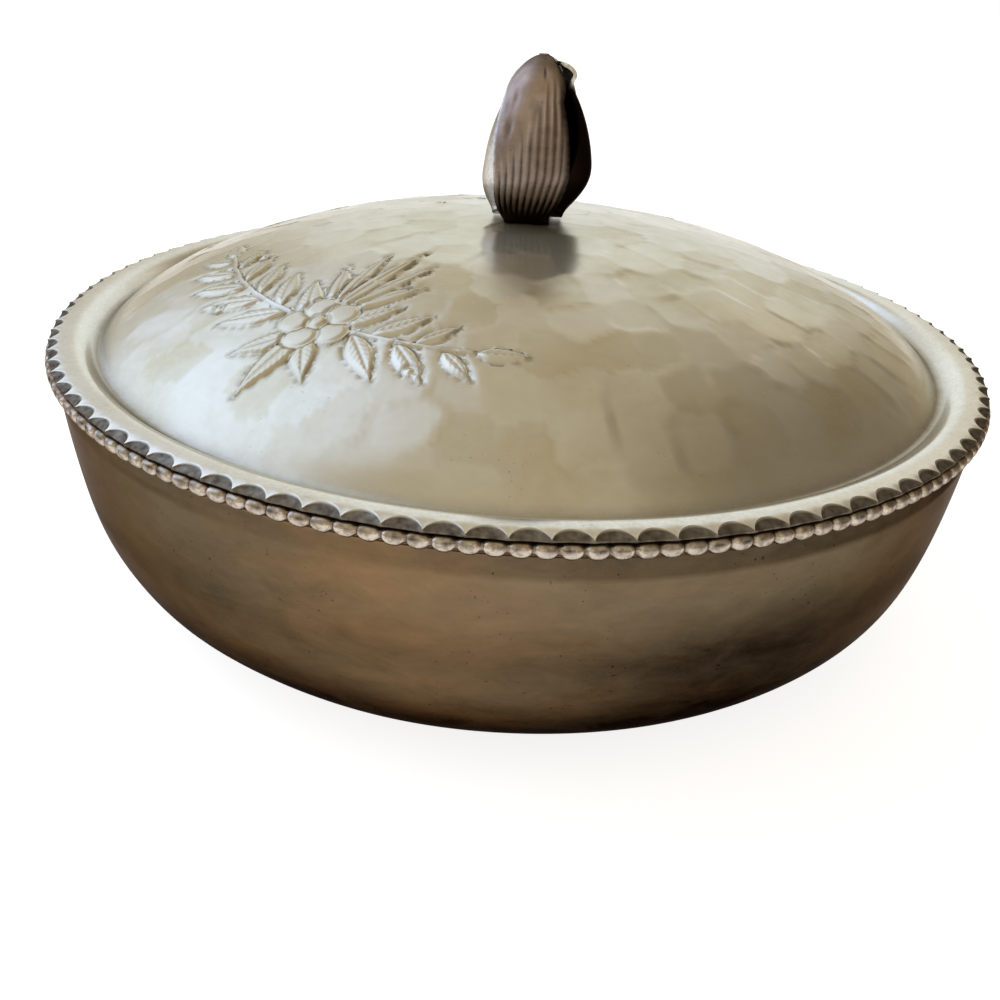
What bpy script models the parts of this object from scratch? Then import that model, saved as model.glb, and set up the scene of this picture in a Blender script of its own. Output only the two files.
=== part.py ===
"""Round covered casserole in sheet aluminium.

A deep bowl with a beaded rim carries a domed lid with a scalloped edge. The knob is a closed flower
bud, folded up from two crossing strips of sheet that a screw, two washers and a nut clamp to the lid.
Metres, +Z up. The origin is the middle of the flat underside of the bowl.
"""

import math

import bmesh
import bpy
from mathutils import Vector, geometry

# Clearances
SEAT_GAP = 0.0003
SCREW_CLEARANCE = 0.0003
PETAL_CLEARANCE = 0.0006

# Bowl
RIM_DIAMETER = 0.2540
BOWL_HEIGHT = 0.0682
BASE_DIAMETER = 0.1752
BOWL_WALL = 0.0014
RIM_WIDTH = 0.0050
COLLAR_HEIGHT = 0.0045
COLLAR_DROP = 0.0027
CREASE_BULGE = 0.0003
WALL_PULL = 0.0374
WALL_TAPER = 0.0020
BELLY_PULL = 0.0322
BELLY_LIFT = 0.0066

# Beads on the bowl's rim
BEAD_PITCH = 0.00464
BEAD_HEIGHT = 0.0041
BEAD_DEPTH = 0.0019
BEAD_ROOT_HEIGHT = 0.0029
BEAD_FOOT_SHARE = 0.45
BEAD_CREST_SHARE = 0.55

# Lid
LID_INSET = 0.0018
LID_WALL = 0.0014
FLANGE_WIDTH = 0.0064
LIP_DROP = 0.0019
LIP_STEP = 0.0019
CHANNEL_DROP = 0.0047
CHANNEL_STEP = 0.0042
DOME_RISE = 0.0318
DOME_ROUNDNESS = 1.90
DOME_SHOULDER = 0.70
KNOB_SEAT_RADIUS = 0.0095

# Scallops round the lid's edge
SCALLOP_PITCH = 0.00757
SCALLOP_DEPTH = 0.0020
SCALLOP_FOOT = 0.0006
CUSP_DROP = 0.0010

# Knob, a closed bud of four petals
BUD_HEIGHT = 0.0409
BUD_RADIUS = 0.0160
BUD_BELLY_HEIGHT = 0.0119
BUD_FOOT_RADIUS = 0.0100
BUD_TIP_RADIUS = 0.0018
BUD_LEAN = 0.0032
BUD_LEAN_HEIGHT = 0.0150
BUD_CLOSING = 1.70
BUD_CLOSING_END = 0.593
PETAL_SHEET = 0.0010
PETAL_FOOT_WIDTH = 0.0120
OPEN_TIP_FLARE = 0.0050
OUTER_WRAP_SHARES = (0.40, 0.42, 0.53, 0.66, 0.62)
INNER_WRAP_SHARES = (0.54, 0.66, 0.55, 0.44, 0.44)
PETAL_SPREAD_SHARE = 0.07
PETAL_DISH_SHARE = 0.07
PETAL_ROUNDING_SHARE = 0.86
PETAL_TIP_WIDTH_SHARE = 0.40
OPEN_NARROWING_SHARES = (0.30, 0.42)
OPEN_FLARE_SHARE = 0.62
RIB_COUNT = 8
RIB_DEPTH = 0.0005
RIB_START_SHARE = 0.08
RIB_FADE_SHARES = (0.55, 0.80)

# Fasteners
SCREW_DIAMETER = 0.0048
SCREW_HEAD_DIAMETER = 0.0092
SCREW_HEAD_HEIGHT = 0.0026
SCREW_TAIL = 0.0016
WASHER_DIAMETER = 0.0110
WASHER_THICKNESS = 0.0009
NUT_ACROSS_FLATS = 0.0087
NUT_HEIGHT = 0.0038
HEAD_EDGE_SHARE = 0.40
HEAD_SHOULDER_SHARES = (0.85, 0.80)
HEAD_CROWN_SHARE = 0.45

# Facets
FACETS_PER_BEAD = 4
FACETS_PER_SCALLOP = 4
WALL_ROWS = 7
DOME_ROWS = 7
PETAL_FOOT_ROWS = 2
PETAL_ROWS = 12
PETAL_COLUMNS_PER_RIB = 2
PLAIN_PETAL_COLUMNS = 8
NUT_SIDES = 6
ROUND_SIDES = 3 * NUT_SIDES

# Angles between faces above which an edge is shaded sharp
SHELL_SHARP_ANGLE = math.radians(35)
RIB_SHARP_ANGLE = math.radians(28)
FASTENER_SHARP_ANGLE = math.radians(40)

# Places that follow from the sizes above
RIM_RADIUS = RIM_DIAMETER / 2
COLLAR_RADIUS = RIM_RADIUS - COLLAR_DROP
MOUTH_RADIUS = RIM_RADIUS - RIM_WIDTH
BEAD_TOP = BOWL_HEIGHT
BEAD_BOTTOM = BEAD_TOP - BEAD_HEIGHT
CREASE_HEIGHT = BEAD_BOTTOM - COLLAR_HEIGHT
LID_RADIUS = RIM_RADIUS - LID_INSET
LID_REST = BOWL_HEIGHT + SEAT_GAP
LIP_RADIUS = LID_RADIUS - FLANGE_WIDTH
DOME_RADIUS = LIP_RADIUS - CHANNEL_STEP
DOME_FOOT = LID_WALL - CHANNEL_DROP
SCREW_RADIUS = SCREW_DIAMETER / 2
SCREW_HOLE_RADIUS = SCREW_RADIUS + SCREW_CLEARANCE
STRIP_STEP = PETAL_SHEET + SEAT_GAP
PETAL_STEP = PETAL_SHEET + RIB_DEPTH + PETAL_CLEARANCE


def even_count(length, pitch):
    """The even number of copies that divides a length nearest to the pitch."""
    return 2 * round(length / (2 * pitch))


BEAD_COUNT = even_count(2 * math.pi * RIM_RADIUS, BEAD_PITCH)
SCALLOP_COUNT = even_count(2 * math.pi * LID_RADIUS, SCALLOP_PITCH)


def clear_scene():
    for thing in list(bpy.data.objects):
        bpy.data.objects.remove(thing, do_unlink=True)


def smooth_step(share):
    """Rise from 0 to 1 with level ends."""
    share = min(max(share, 0.0), 1.0)
    return share * share * (3 - 2 * share)


def read_shares(shares, share):
    """Read a table of evenly spaced shares at a share of its length, straight between entries."""
    place = min(max(share, 0.0), 1.0) * (len(shares) - 1)
    index = min(int(place), len(shares) - 2)
    return shares[index] + (shares[index + 1] - shares[index]) * (place - index)


def make_material(name, color, roughness):
    material = bpy.data.materials.new(name)
    material.use_nodes = True
    shader = material.node_tree.nodes["Principled BSDF"]
    shader.inputs["Base Color"].default_value = (*color, 1.0)
    shader.inputs["Metallic"].default_value = 1.0
    shader.inputs["Roughness"].default_value = roughness
    return material


def make_object(name, bm, material, sharp_angle):
    """Turn a finished bmesh into a named object with smooth round faces."""
    mesh = bpy.data.meshes.new(name)
    bm.to_mesh(mesh)
    bm.free()
    if material:
        mesh.materials.append(material)
    mesh.shade_smooth()
    mesh.set_sharp_from_angle(angle=sharp_angle)
    thing = bpy.data.objects.new(name, mesh)
    bpy.context.scene.collection.objects.link(thing)
    return thing


def make_empty(name, height, parent=None):
    empty = bpy.data.objects.new(name, None)
    empty.location = (0, 0, height)
    empty.parent = parent
    bpy.context.scene.collection.objects.link(empty)
    return empty


# Round shells made of stacked rings

def add_ring(bm, count, place):
    """Add a ring of points whose radius and height place() gives for each angle."""
    circle = bmesh.ops.create_circle(bm, cap_ends=False, segments=count, radius=1)
    for vert in circle["verts"]:
        angle = math.atan2(vert.co.y, vert.co.x)
        radius, height = place(angle)
        vert.co = (radius * math.cos(angle), radius * math.sin(angle), height)
    return circle["verts"]


def plain_ring(radius, height):
    return lambda angle: (radius, height)


def join_rings(bm, first, second):
    """Close the band between two rings; each point of a coarser ring fans out to its share."""
    coarse, fine = sorted((first, second), key=len)
    fan = len(fine) // len(coarse)
    middle = (fan + 1) // 2
    for index, point in enumerate(coarse):
        following = coarse[(index + 1) % len(coarse)]
        run = [fine[(index * fan + step) % len(fine)] for step in range(fan + 1)]
        if fan == 1:
            bm.faces.new((point, following, run[1], run[0]))
            continue
        for step in range(fan):
            corner = point if step < middle else following
            bm.faces.new((corner, run[step + 1], run[step]))
        bm.faces.new((point, following, run[middle]))


def stack_rings(rings, is_tube=False):
    """Join each ring to the next, then close the two ends with caps or to each other."""
    bm = bmesh.new()
    loops = [add_ring(bm, count, place) for count, place in rings]
    for lower, upper in zip(loops, loops[1:]):
        join_rings(bm, lower, upper)
    if is_tube:
        join_rings(bm, loops[-1], loops[0])
    else:
        for end in (loops[0], loops[-1]):
            bm.faces.new(end)
    bmesh.ops.recalc_face_normals(bm, faces=bm.faces[:])
    return bm


def offset_outline(points, wall):
    """Move an outline of radius and height points sideways by the wall, square to its run."""
    moved = []
    for index, point in enumerate(points):
        before = points[max(index - 1, 0)]
        after = points[min(index + 1, len(points) - 1)]
        run = (Vector(after) - Vector(before)).normalized()
        moved.append((point[0] - wall * run.y, point[1] + wall * run.x))
    return moved


# Bowl

def share_along_pitch(angle, count):
    """How far round its own pitch an angle lies, 0 at the joint and 0.5 at the middle."""
    return ((angle + math.pi / 2) / (2 * math.pi) * count) % 1.0


def bead_bulge(angle):
    """How far the half-round bead stands out at this angle, 0 in the groove and 1 on the crown."""
    across = 2 * share_along_pitch(angle, BEAD_COUNT) - 1
    return math.sqrt(max(1 - across * across, 0.0))


def bead_ring(depth_share, root_height, crown_height):
    """A ring on the beads that stands out and changes height from groove to crown."""
    def place(angle):
        bulge = bead_bulge(angle)
        radius = RIM_RADIUS - BEAD_DEPTH + BEAD_DEPTH * depth_share * bulge
        return radius, root_height + (crown_height - root_height) * bulge
    return place


def bowl_side():
    """Radius and height down the outside of the wall, from the crease to the flat base."""
    base_radius = BASE_DIAMETER / 2
    crease = (COLLAR_RADIUS + CREASE_BULGE, CREASE_HEIGHT, 0)
    wall_handle = (crease[0] - WALL_TAPER, CREASE_HEIGHT - WALL_PULL, 0)
    belly_handle = (base_radius + BELLY_PULL, BELLY_LIFT, 0)
    base = (base_radius, 0, 0)
    curve = geometry.interpolate_bezier(crease, wall_handle, belly_handle, base, WALL_ROWS + 1)
    return [(point.x, point.y) for point in curve]


def build_bowl(material):
    sides = BEAD_COUNT // 2
    outside = [(BASE_DIAMETER / 2 - BOWL_WALL, 0)] + bowl_side()[::-1]
    inside = offset_outline(outside, BOWL_WALL)
    facets = BEAD_COUNT * FACETS_PER_BEAD
    root_bottom = BEAD_TOP - BEAD_ROOT_HEIGHT
    belly = BEAD_TOP - BEAD_HEIGHT / 2

    rings = [(sides, plain_ring(*point)) for point in outside]
    rings.append((BEAD_COUNT, plain_ring(COLLAR_RADIUS, BEAD_BOTTOM)))
    rings.append((facets, bead_ring(BEAD_FOOT_SHARE, root_bottom, BEAD_BOTTOM)))
    rings.append((facets, bead_ring(1, belly, belly)))
    rings.append((facets, bead_ring(BEAD_CREST_SHARE, BEAD_TOP, BEAD_TOP)))
    rings.append((sides, plain_ring(MOUTH_RADIUS, BEAD_TOP)))
    rings.append((sides, plain_ring(MOUTH_RADIUS, BEAD_BOTTOM)))
    rings.extend((sides, plain_ring(*point)) for point in inside[::-1])
    return make_object("bowl", stack_rings(rings), material, SHELL_SHARP_ANGLE)


# Lid

def dome_height(radius):
    """Height of the lid's outer face above its rest plane at a radius inside the channel."""
    share = min(radius / DOME_RADIUS, 1.0)
    return DOME_FOOT + DOME_RISE * (1 - share ** DOME_ROUNDNESS) ** DOME_SHOULDER


def lid_outline():
    """Radius and height over the lid's outer face, from the screw hole to the flange."""
    top = dome_height(KNOB_SEAT_RADIUS)
    points = [(SCREW_HOLE_RADIUS, top), (KNOB_SEAT_RADIUS, top)]
    for row in range(1, DOME_ROWS + 1):
        share = math.sin(row / DOME_ROWS * math.pi / 2)
        radius = KNOB_SEAT_RADIUS + (DOME_RADIUS - KNOB_SEAT_RADIUS) * share
        points.append((radius, dome_height(radius)))
    points.append((LIP_RADIUS - LIP_STEP, LID_WALL - LIP_DROP))
    points.append((LIP_RADIUS, LID_WALL))
    return points


def scallop_ring(depth, top, cusp_drop):
    """A ring on the lid's edge, cut in by the scallops and lower at the cusps between them."""
    def place(angle):
        across = 2 * share_along_pitch(angle, SCALLOP_COUNT) - 1
        cut = 1 - across * across
        return LID_RADIUS - depth * cut, top - cusp_drop * (1 - cut)
    return place


def build_lid(material):
    sides = SCALLOP_COUNT // 2
    facets = SCALLOP_COUNT * FACETS_PER_SCALLOP
    outside = lid_outline()
    inside = offset_outline(outside, -LID_WALL)
    seat_under = dome_height(KNOB_SEAT_RADIUS) - LID_WALL
    inside[0] = (SCREW_HOLE_RADIUS, seat_under)
    inside[1] = (KNOB_SEAT_RADIUS, seat_under)
    inside[-1] = (LIP_RADIUS, 0)
    shoulder = LID_RADIUS - SCALLOP_DEPTH - SCALLOP_FOOT

    rings = [(sides, plain_ring(*point)) for point in outside]
    rings.append((SCALLOP_COUNT, plain_ring(shoulder, LID_WALL)))
    rings.append((facets, scallop_ring(SCALLOP_DEPTH, LID_WALL, CUSP_DROP)))
    rings.append((facets, scallop_ring(SCALLOP_FOOT, 0, 0)))
    rings.extend((sides, plain_ring(*point)) for point in inside[::-1])
    return make_object("lid", stack_rings(rings, is_tube=True), material, SHELL_SHARP_ANGLE)


# Knob

def bud_radius(height, belly_radius, foot_radius, top):
    """Radius of the bud's outline, wide at its belly and drawn in to its foot and its tip."""
    if height < BUD_BELLY_HEIGHT:
        below = (BUD_BELLY_HEIGHT - height) / BUD_BELLY_HEIGHT
        return belly_radius - (belly_radius - foot_radius) * below * below
    above = min((height - BUD_BELLY_HEIGHT) / (top - BUD_BELLY_HEIGHT), 1.0)
    return belly_radius * (1 - above ** BUD_CLOSING) ** BUD_CLOSING_END


class PetalStrip:
    """A strip of sheet that crosses the bud's foot and rises on both sides as a petal."""

    foot_share = PETAL_FOOT_ROWS / PETAL_ROWS

    def __init__(self, inset, foot_height, wrap_shares, flare):
        self.wrap_shares = wrap_shares
        self.flare = flare
        self.belly_radius = BUD_RADIUS - inset
        self.foot_radius = BUD_FOOT_RADIUS - inset
        self.foot_height = foot_height
        self.top = BUD_HEIGHT - inset

    def rise(self, share):
        """Share of the bud's height that a share of the petal's length has reached."""
        climb = max(share - self.foot_share, 0.0) / (1 - self.foot_share)
        return (1 - math.cos(climb * math.pi)) / 2

    def path(self, share, is_open):
        """Distance from the middle and height of the outer face, from the foot to a tip."""
        if share <= self.foot_share:
            return self.foot_radius * share / self.foot_share, self.foot_height
        rise = self.rise(share)
        height = self.foot_height + (self.top - self.foot_height) * rise
        radius = bud_radius(height, self.belly_radius, self.foot_radius, self.top)
        if is_open:
            radius += self.flare * smooth_step((rise - OPEN_FLARE_SHARE) / (1 - OPEN_FLARE_SHARE))
        return max(radius, BUD_TIP_RADIUS), height

    def half_width(self, share, radius, is_open):
        """Half the strip's width along its curved face: narrow foot, wide petal, round tip."""
        rise = self.rise(share)
        wrap = read_shares(self.wrap_shares, rise) * math.pi / 2
        if is_open:
            start, amount = OPEN_NARROWING_SHARES
            wrap *= 1 - amount * smooth_step((rise - start) / (OPEN_FLARE_SHARE - start))
        foot = PETAL_FOOT_WIDTH / 2
        width = foot + (wrap * radius - foot) * smooth_step(rise / PETAL_SPREAD_SHARE)
        end = max((rise - PETAL_ROUNDING_SHARE) / (1 - PETAL_ROUNDING_SHARE), 0.0)
        return width * max(math.sqrt(1 - end * end), PETAL_TIP_WIDTH_SHARE)

    def point(self, across, along):
        """Place of a point on the outer face of a strip that runs along Y, from shares of its size."""
        share = abs(along)
        is_open = self.flare > 0 and along > 0
        radius, height = self.path(share, is_open)
        half_width = self.half_width(share, radius, is_open)
        dish = smooth_step((height - self.foot_height) / (BUD_HEIGHT * PETAL_DISH_SHARE))
        turn = across * half_width / max(radius, BUD_TIP_RADIUS)
        x = (1 - dish) * across * half_width + dish * radius * math.sin(turn)
        y = radius * (1 - dish + dish * math.cos(turn))
        return Vector((x, y if along > 0 else -y, height))

    def rib_depth(self, across, along):
        """Depth of the pressed grooves between the ribs, which fade out towards the petal's tip."""
        rise = self.rise(abs(along))
        groove = (1 + math.cos(across * RIB_COUNT * math.pi)) / 2
        fade_start, fade_end = RIB_FADE_SHARES
        fade = smooth_step((fade_end - rise) / (fade_end - fade_start))
        return RIB_DEPTH * groove * smooth_step(rise / RIB_START_SHARE) * fade


def build_petals(name, strip, columns, is_ribbed, is_crosswise, material):
    """Form a flat grid into two petals on one strip, then give it the sheet's thickness."""
    bm = bmesh.new()
    bmesh.ops.create_grid(bm, x_segments=columns, y_segments=2 * PETAL_ROWS, size=1)
    bmesh.ops.reverse_faces(bm, faces=bm.faces[:])
    for vert in bm.verts:
        across, along = vert.co.x, vert.co.y
        place = strip.point(across, along)
        if is_ribbed:
            inward = -Vector((place.x, place.y, 0)).normalized()
            place += inward * strip.rib_depth(across, along)
        if is_crosswise:
            place = Vector((place.y, -place.x, place.z))
        place.x += BUD_LEAN * smooth_step(place.z / BUD_LEAN_HEIGHT)
        vert.co = place
    thing = make_object(name, bm, material, RIB_SHARP_ANGLE)
    sheet = thing.modifiers.new("sheet", "SOLIDIFY")
    sheet.thickness = PETAL_SHEET
    sheet.offset = -1
    return thing


def cut_hole(thing, cutter):
    hole = thing.modifiers.new("screw_hole", "BOOLEAN")
    hole.operation = "DIFFERENCE"
    hole.object = cutter


def build_hole_cutter():
    """A hidden cylinder that opens the screw hole through both strips."""
    bm = stack_rings([
        (ROUND_SIDES, plain_ring(SCREW_HOLE_RADIUS, -STRIP_STEP)),
        (ROUND_SIDES, plain_ring(SCREW_HOLE_RADIUS, 3 * STRIP_STEP)),
    ])
    cutter = make_object("screw_hole_cutter", bm, None, FASTENER_SHARP_ANGLE)
    cutter.hide_render = True
    cutter.display_type = "WIRE"
    return cutter


# Fasteners

def build_washer(name, material):
    outer, inner = WASHER_DIAMETER / 2, SCREW_HOLE_RADIUS
    corners = [(outer, 0), (outer, WASHER_THICKNESS), (inner, WASHER_THICKNESS), (inner, 0)]
    bm = stack_rings([(ROUND_SIDES, plain_ring(*corner)) for corner in corners], is_tube=True)
    return make_object(name, bm, material, FASTENER_SHARP_ANGLE)


def build_nut(material):
    corner_radius = NUT_ACROSS_FLATS / 2 / math.cos(math.pi / NUT_SIDES)
    bm = stack_rings([
        (NUT_SIDES, plain_ring(corner_radius, 0)),
        (NUT_SIDES, plain_ring(corner_radius, NUT_HEIGHT)),
        (ROUND_SIDES, plain_ring(SCREW_HOLE_RADIUS, NUT_HEIGHT)),
        (ROUND_SIDES, plain_ring(SCREW_HOLE_RADIUS, 0)),
    ], is_tube=True)
    return make_object("knob_nut", bm, material, FASTENER_SHARP_ANGLE)


def build_screw(length, material):
    """A round-headed screw whose origin is the underside of its head."""
    head = SCREW_HEAD_DIAMETER / 2
    shoulder_out, shoulder_up = HEAD_SHOULDER_SHARES
    outline = [
        (SCREW_RADIUS - SCREW_CLEARANCE, -length),
        (SCREW_RADIUS, SCREW_TAIL / 2 - length),
        (SCREW_RADIUS, 0),
        (head, 0),
        (head, SCREW_HEAD_HEIGHT * HEAD_EDGE_SHARE),
        (head * shoulder_out, SCREW_HEAD_HEIGHT * shoulder_up),
        (head * HEAD_CROWN_SHARE, SCREW_HEAD_HEIGHT),
    ]
    bm = stack_rings([(ROUND_SIDES, plain_ring(*point)) for point in outline])
    return make_object("knob_screw", bm, material, FASTENER_SHARP_ANGLE)


def mount(thing, parent, height):
    """Put a piece on its parent's axis at a height above the parent's origin."""
    thing.parent = parent
    thing.location = (0, 0, height)


def main():
    clear_scene()
    bowl_metal = make_material("hammered_aluminium_bowl", (0.36, 0.29, 0.22), 0.34)
    lid_metal = make_material("hammered_aluminium_lid", (0.58, 0.55, 0.47), 0.30)
    knob_metal = make_material("pressed_aluminium_bud", (0.40, 0.34, 0.29), 0.32)
    screw_metal = make_material("plain_steel_fasteners", (0.55, 0.55, 0.53), 0.40)

    build_bowl(bowl_metal)
    lift_axis = make_empty("lid_lift_axis", LID_REST)
    lid = build_lid(lid_metal)
    mount(lid, lift_axis, 0)

    bud = make_empty("bud_axis", dome_height(KNOB_SEAT_RADIUS) + SEAT_GAP, lid)
    outer_strip = PetalStrip(0, 0, OUTER_WRAP_SHARES, 0)
    inner_strip = PetalStrip(PETAL_STEP, STRIP_STEP, INNER_WRAP_SHARES, OPEN_TIP_FLARE)
    rib_columns = RIB_COUNT * PETAL_COLUMNS_PER_RIB
    outer = build_petals("knob_outer_petals", outer_strip, rib_columns, True, False, knob_metal)
    inner = build_petals("knob_inner_petals", inner_strip, PLAIN_PETAL_COLUMNS, False, True, knob_metal)
    cutter = build_hole_cutter()
    for thing in (outer, inner, cutter):
        mount(thing, bud, 0)
    for thing in (outer, inner):
        cut_hole(thing, cutter)

    washer_height = 2 * STRIP_STEP
    head_height = washer_height + WASHER_THICKNESS + SEAT_GAP
    mount(build_washer("knob_washer", screw_metal), bud, washer_height)
    lid_washer_height = -SEAT_GAP - LID_WALL - SEAT_GAP - WASHER_THICKNESS
    mount(build_washer("lid_washer", screw_metal), bud, lid_washer_height)
    nut_height = lid_washer_height - SEAT_GAP - NUT_HEIGHT
    mount(build_nut(screw_metal), bud, nut_height)
    screw_length = head_height - nut_height + SCREW_TAIL
    mount(build_screw(screw_length, screw_metal), bud, head_height)


if __name__ == "__main__":
    main()
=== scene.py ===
"""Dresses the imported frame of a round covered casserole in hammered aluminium.

A bowl with a rim of pressed beads carries a domed lid. The lid has a scalloped edge, hammer
facets and a pressed laurel garland, and its knob is a closed bud folded from two strips of sheet.
Metres, +Z up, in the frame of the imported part.
"""

import logging
import math
import random
from collections.abc import Callable, Sequence
from dataclasses import dataclass, field, replace
from enum import Enum, IntEnum

import bmesh
import bpy
import numpy as np
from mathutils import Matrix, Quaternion, Vector


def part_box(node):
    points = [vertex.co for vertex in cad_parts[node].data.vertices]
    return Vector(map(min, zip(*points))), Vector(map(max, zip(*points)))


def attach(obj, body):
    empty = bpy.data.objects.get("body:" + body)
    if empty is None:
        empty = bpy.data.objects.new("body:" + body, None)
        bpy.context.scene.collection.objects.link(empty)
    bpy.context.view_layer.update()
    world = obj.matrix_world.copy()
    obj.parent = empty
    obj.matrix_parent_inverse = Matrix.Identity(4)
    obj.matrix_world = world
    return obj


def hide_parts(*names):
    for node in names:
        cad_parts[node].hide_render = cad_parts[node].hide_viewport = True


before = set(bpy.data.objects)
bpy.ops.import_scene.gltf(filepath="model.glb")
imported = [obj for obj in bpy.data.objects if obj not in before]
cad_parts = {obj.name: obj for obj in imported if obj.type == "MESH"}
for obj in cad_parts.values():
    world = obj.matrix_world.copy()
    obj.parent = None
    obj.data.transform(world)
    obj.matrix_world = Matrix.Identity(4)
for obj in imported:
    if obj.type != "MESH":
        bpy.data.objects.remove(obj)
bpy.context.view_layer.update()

LOG = logging.getLogger("casserole")
FULL_TURN = 2 * math.pi
MM = 0.001
MERGE_DISTANCE = 1e-7
SAME_RUN = 1e-5

Socket = bpy.types.NodeSocket
Place = tuple[float, float, float]
Values = float | np.ndarray


class Body(Enum):
    """The bodies that pieces ride on."""

    DISH = "dish"
    LID = "lid"


class Slot(Enum):
    """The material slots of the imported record."""

    BOWL = "bowl_metal"
    LID = "lid_metal"
    KNOB = "knob_metal"
    FASTENER = "fastener_metal"


def smooth_step(share: float) -> float:
    """Rise from 0 to 1 with level ends."""
    share = min(max(share, 0.0), 1.0)
    return share * share * (3 - 2 * share)


def smooth_steps(share: np.ndarray) -> np.ndarray:
    """Rise from 0 to 1 with level ends, for each value of an array."""
    share = np.clip(share, 0.0, 1.0)
    return share * share * (3 - 2 * share)


def bell(away: Values) -> Values:
    """Fall from 1 at 0 towards 0 on both sides, for one number or for each value of an array."""
    return np.exp(-away * away)


def turn_from(middle: float, angle: Values) -> Values:
    """How far an angle lies round from a middle direction, at most half a turn either way."""
    return (angle - middle + math.pi) % FULL_TURN - math.pi


def linear(code: str) -> tuple[float, float, float, float]:
    """Turn an sRGB hex colour into linear light.

    Args:
        code: Six hex digits.

    Returns:
        The linear red, green and blue, and an alpha of 1.
    """
    values = [int(code[start:start + 2], 16) / 255 for start in (0, 2, 4)]
    light = [v / 12.92 if v <= 0.04045 else ((v + 0.055) / 1.055) ** 2.4 for v in values]
    return (*light, 1.0)


def add_node(tree: bpy.types.NodeTree, kind: str, inputs: dict | tuple = (),
             **settings: object) -> bpy.types.Node:
    """Add a node with its settings, and fill its sockets.

    Args:
        tree: The node tree that gets the node.
        kind: The node's type name.
        inputs: Values, or sockets to link, by the input's name or number or in the inputs' order.
        settings: Properties of the node.

    Returns:
        The new node.
    """
    node = tree.nodes.new(kind)
    for name, value in settings.items():
        setattr(node, name, value)
    for name, value in inputs.items() if isinstance(inputs, dict) else enumerate(inputs):
        if isinstance(value, Socket):
            tree.links.new(value, node.inputs[name])
        else:
            node.inputs[name].default_value = value
    return node


def new_tree(name: str) -> tuple[bpy.types.Material, bpy.types.NodeTree]:
    """Make a material with an empty node tree.

    Args:
        name: The material's name.

    Returns:
        The material and its tree.
    """
    material = bpy.data.materials.new(name)
    material.use_nodes = True
    material.node_tree.nodes.clear()
    return material, material.node_tree


# Finishes


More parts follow.
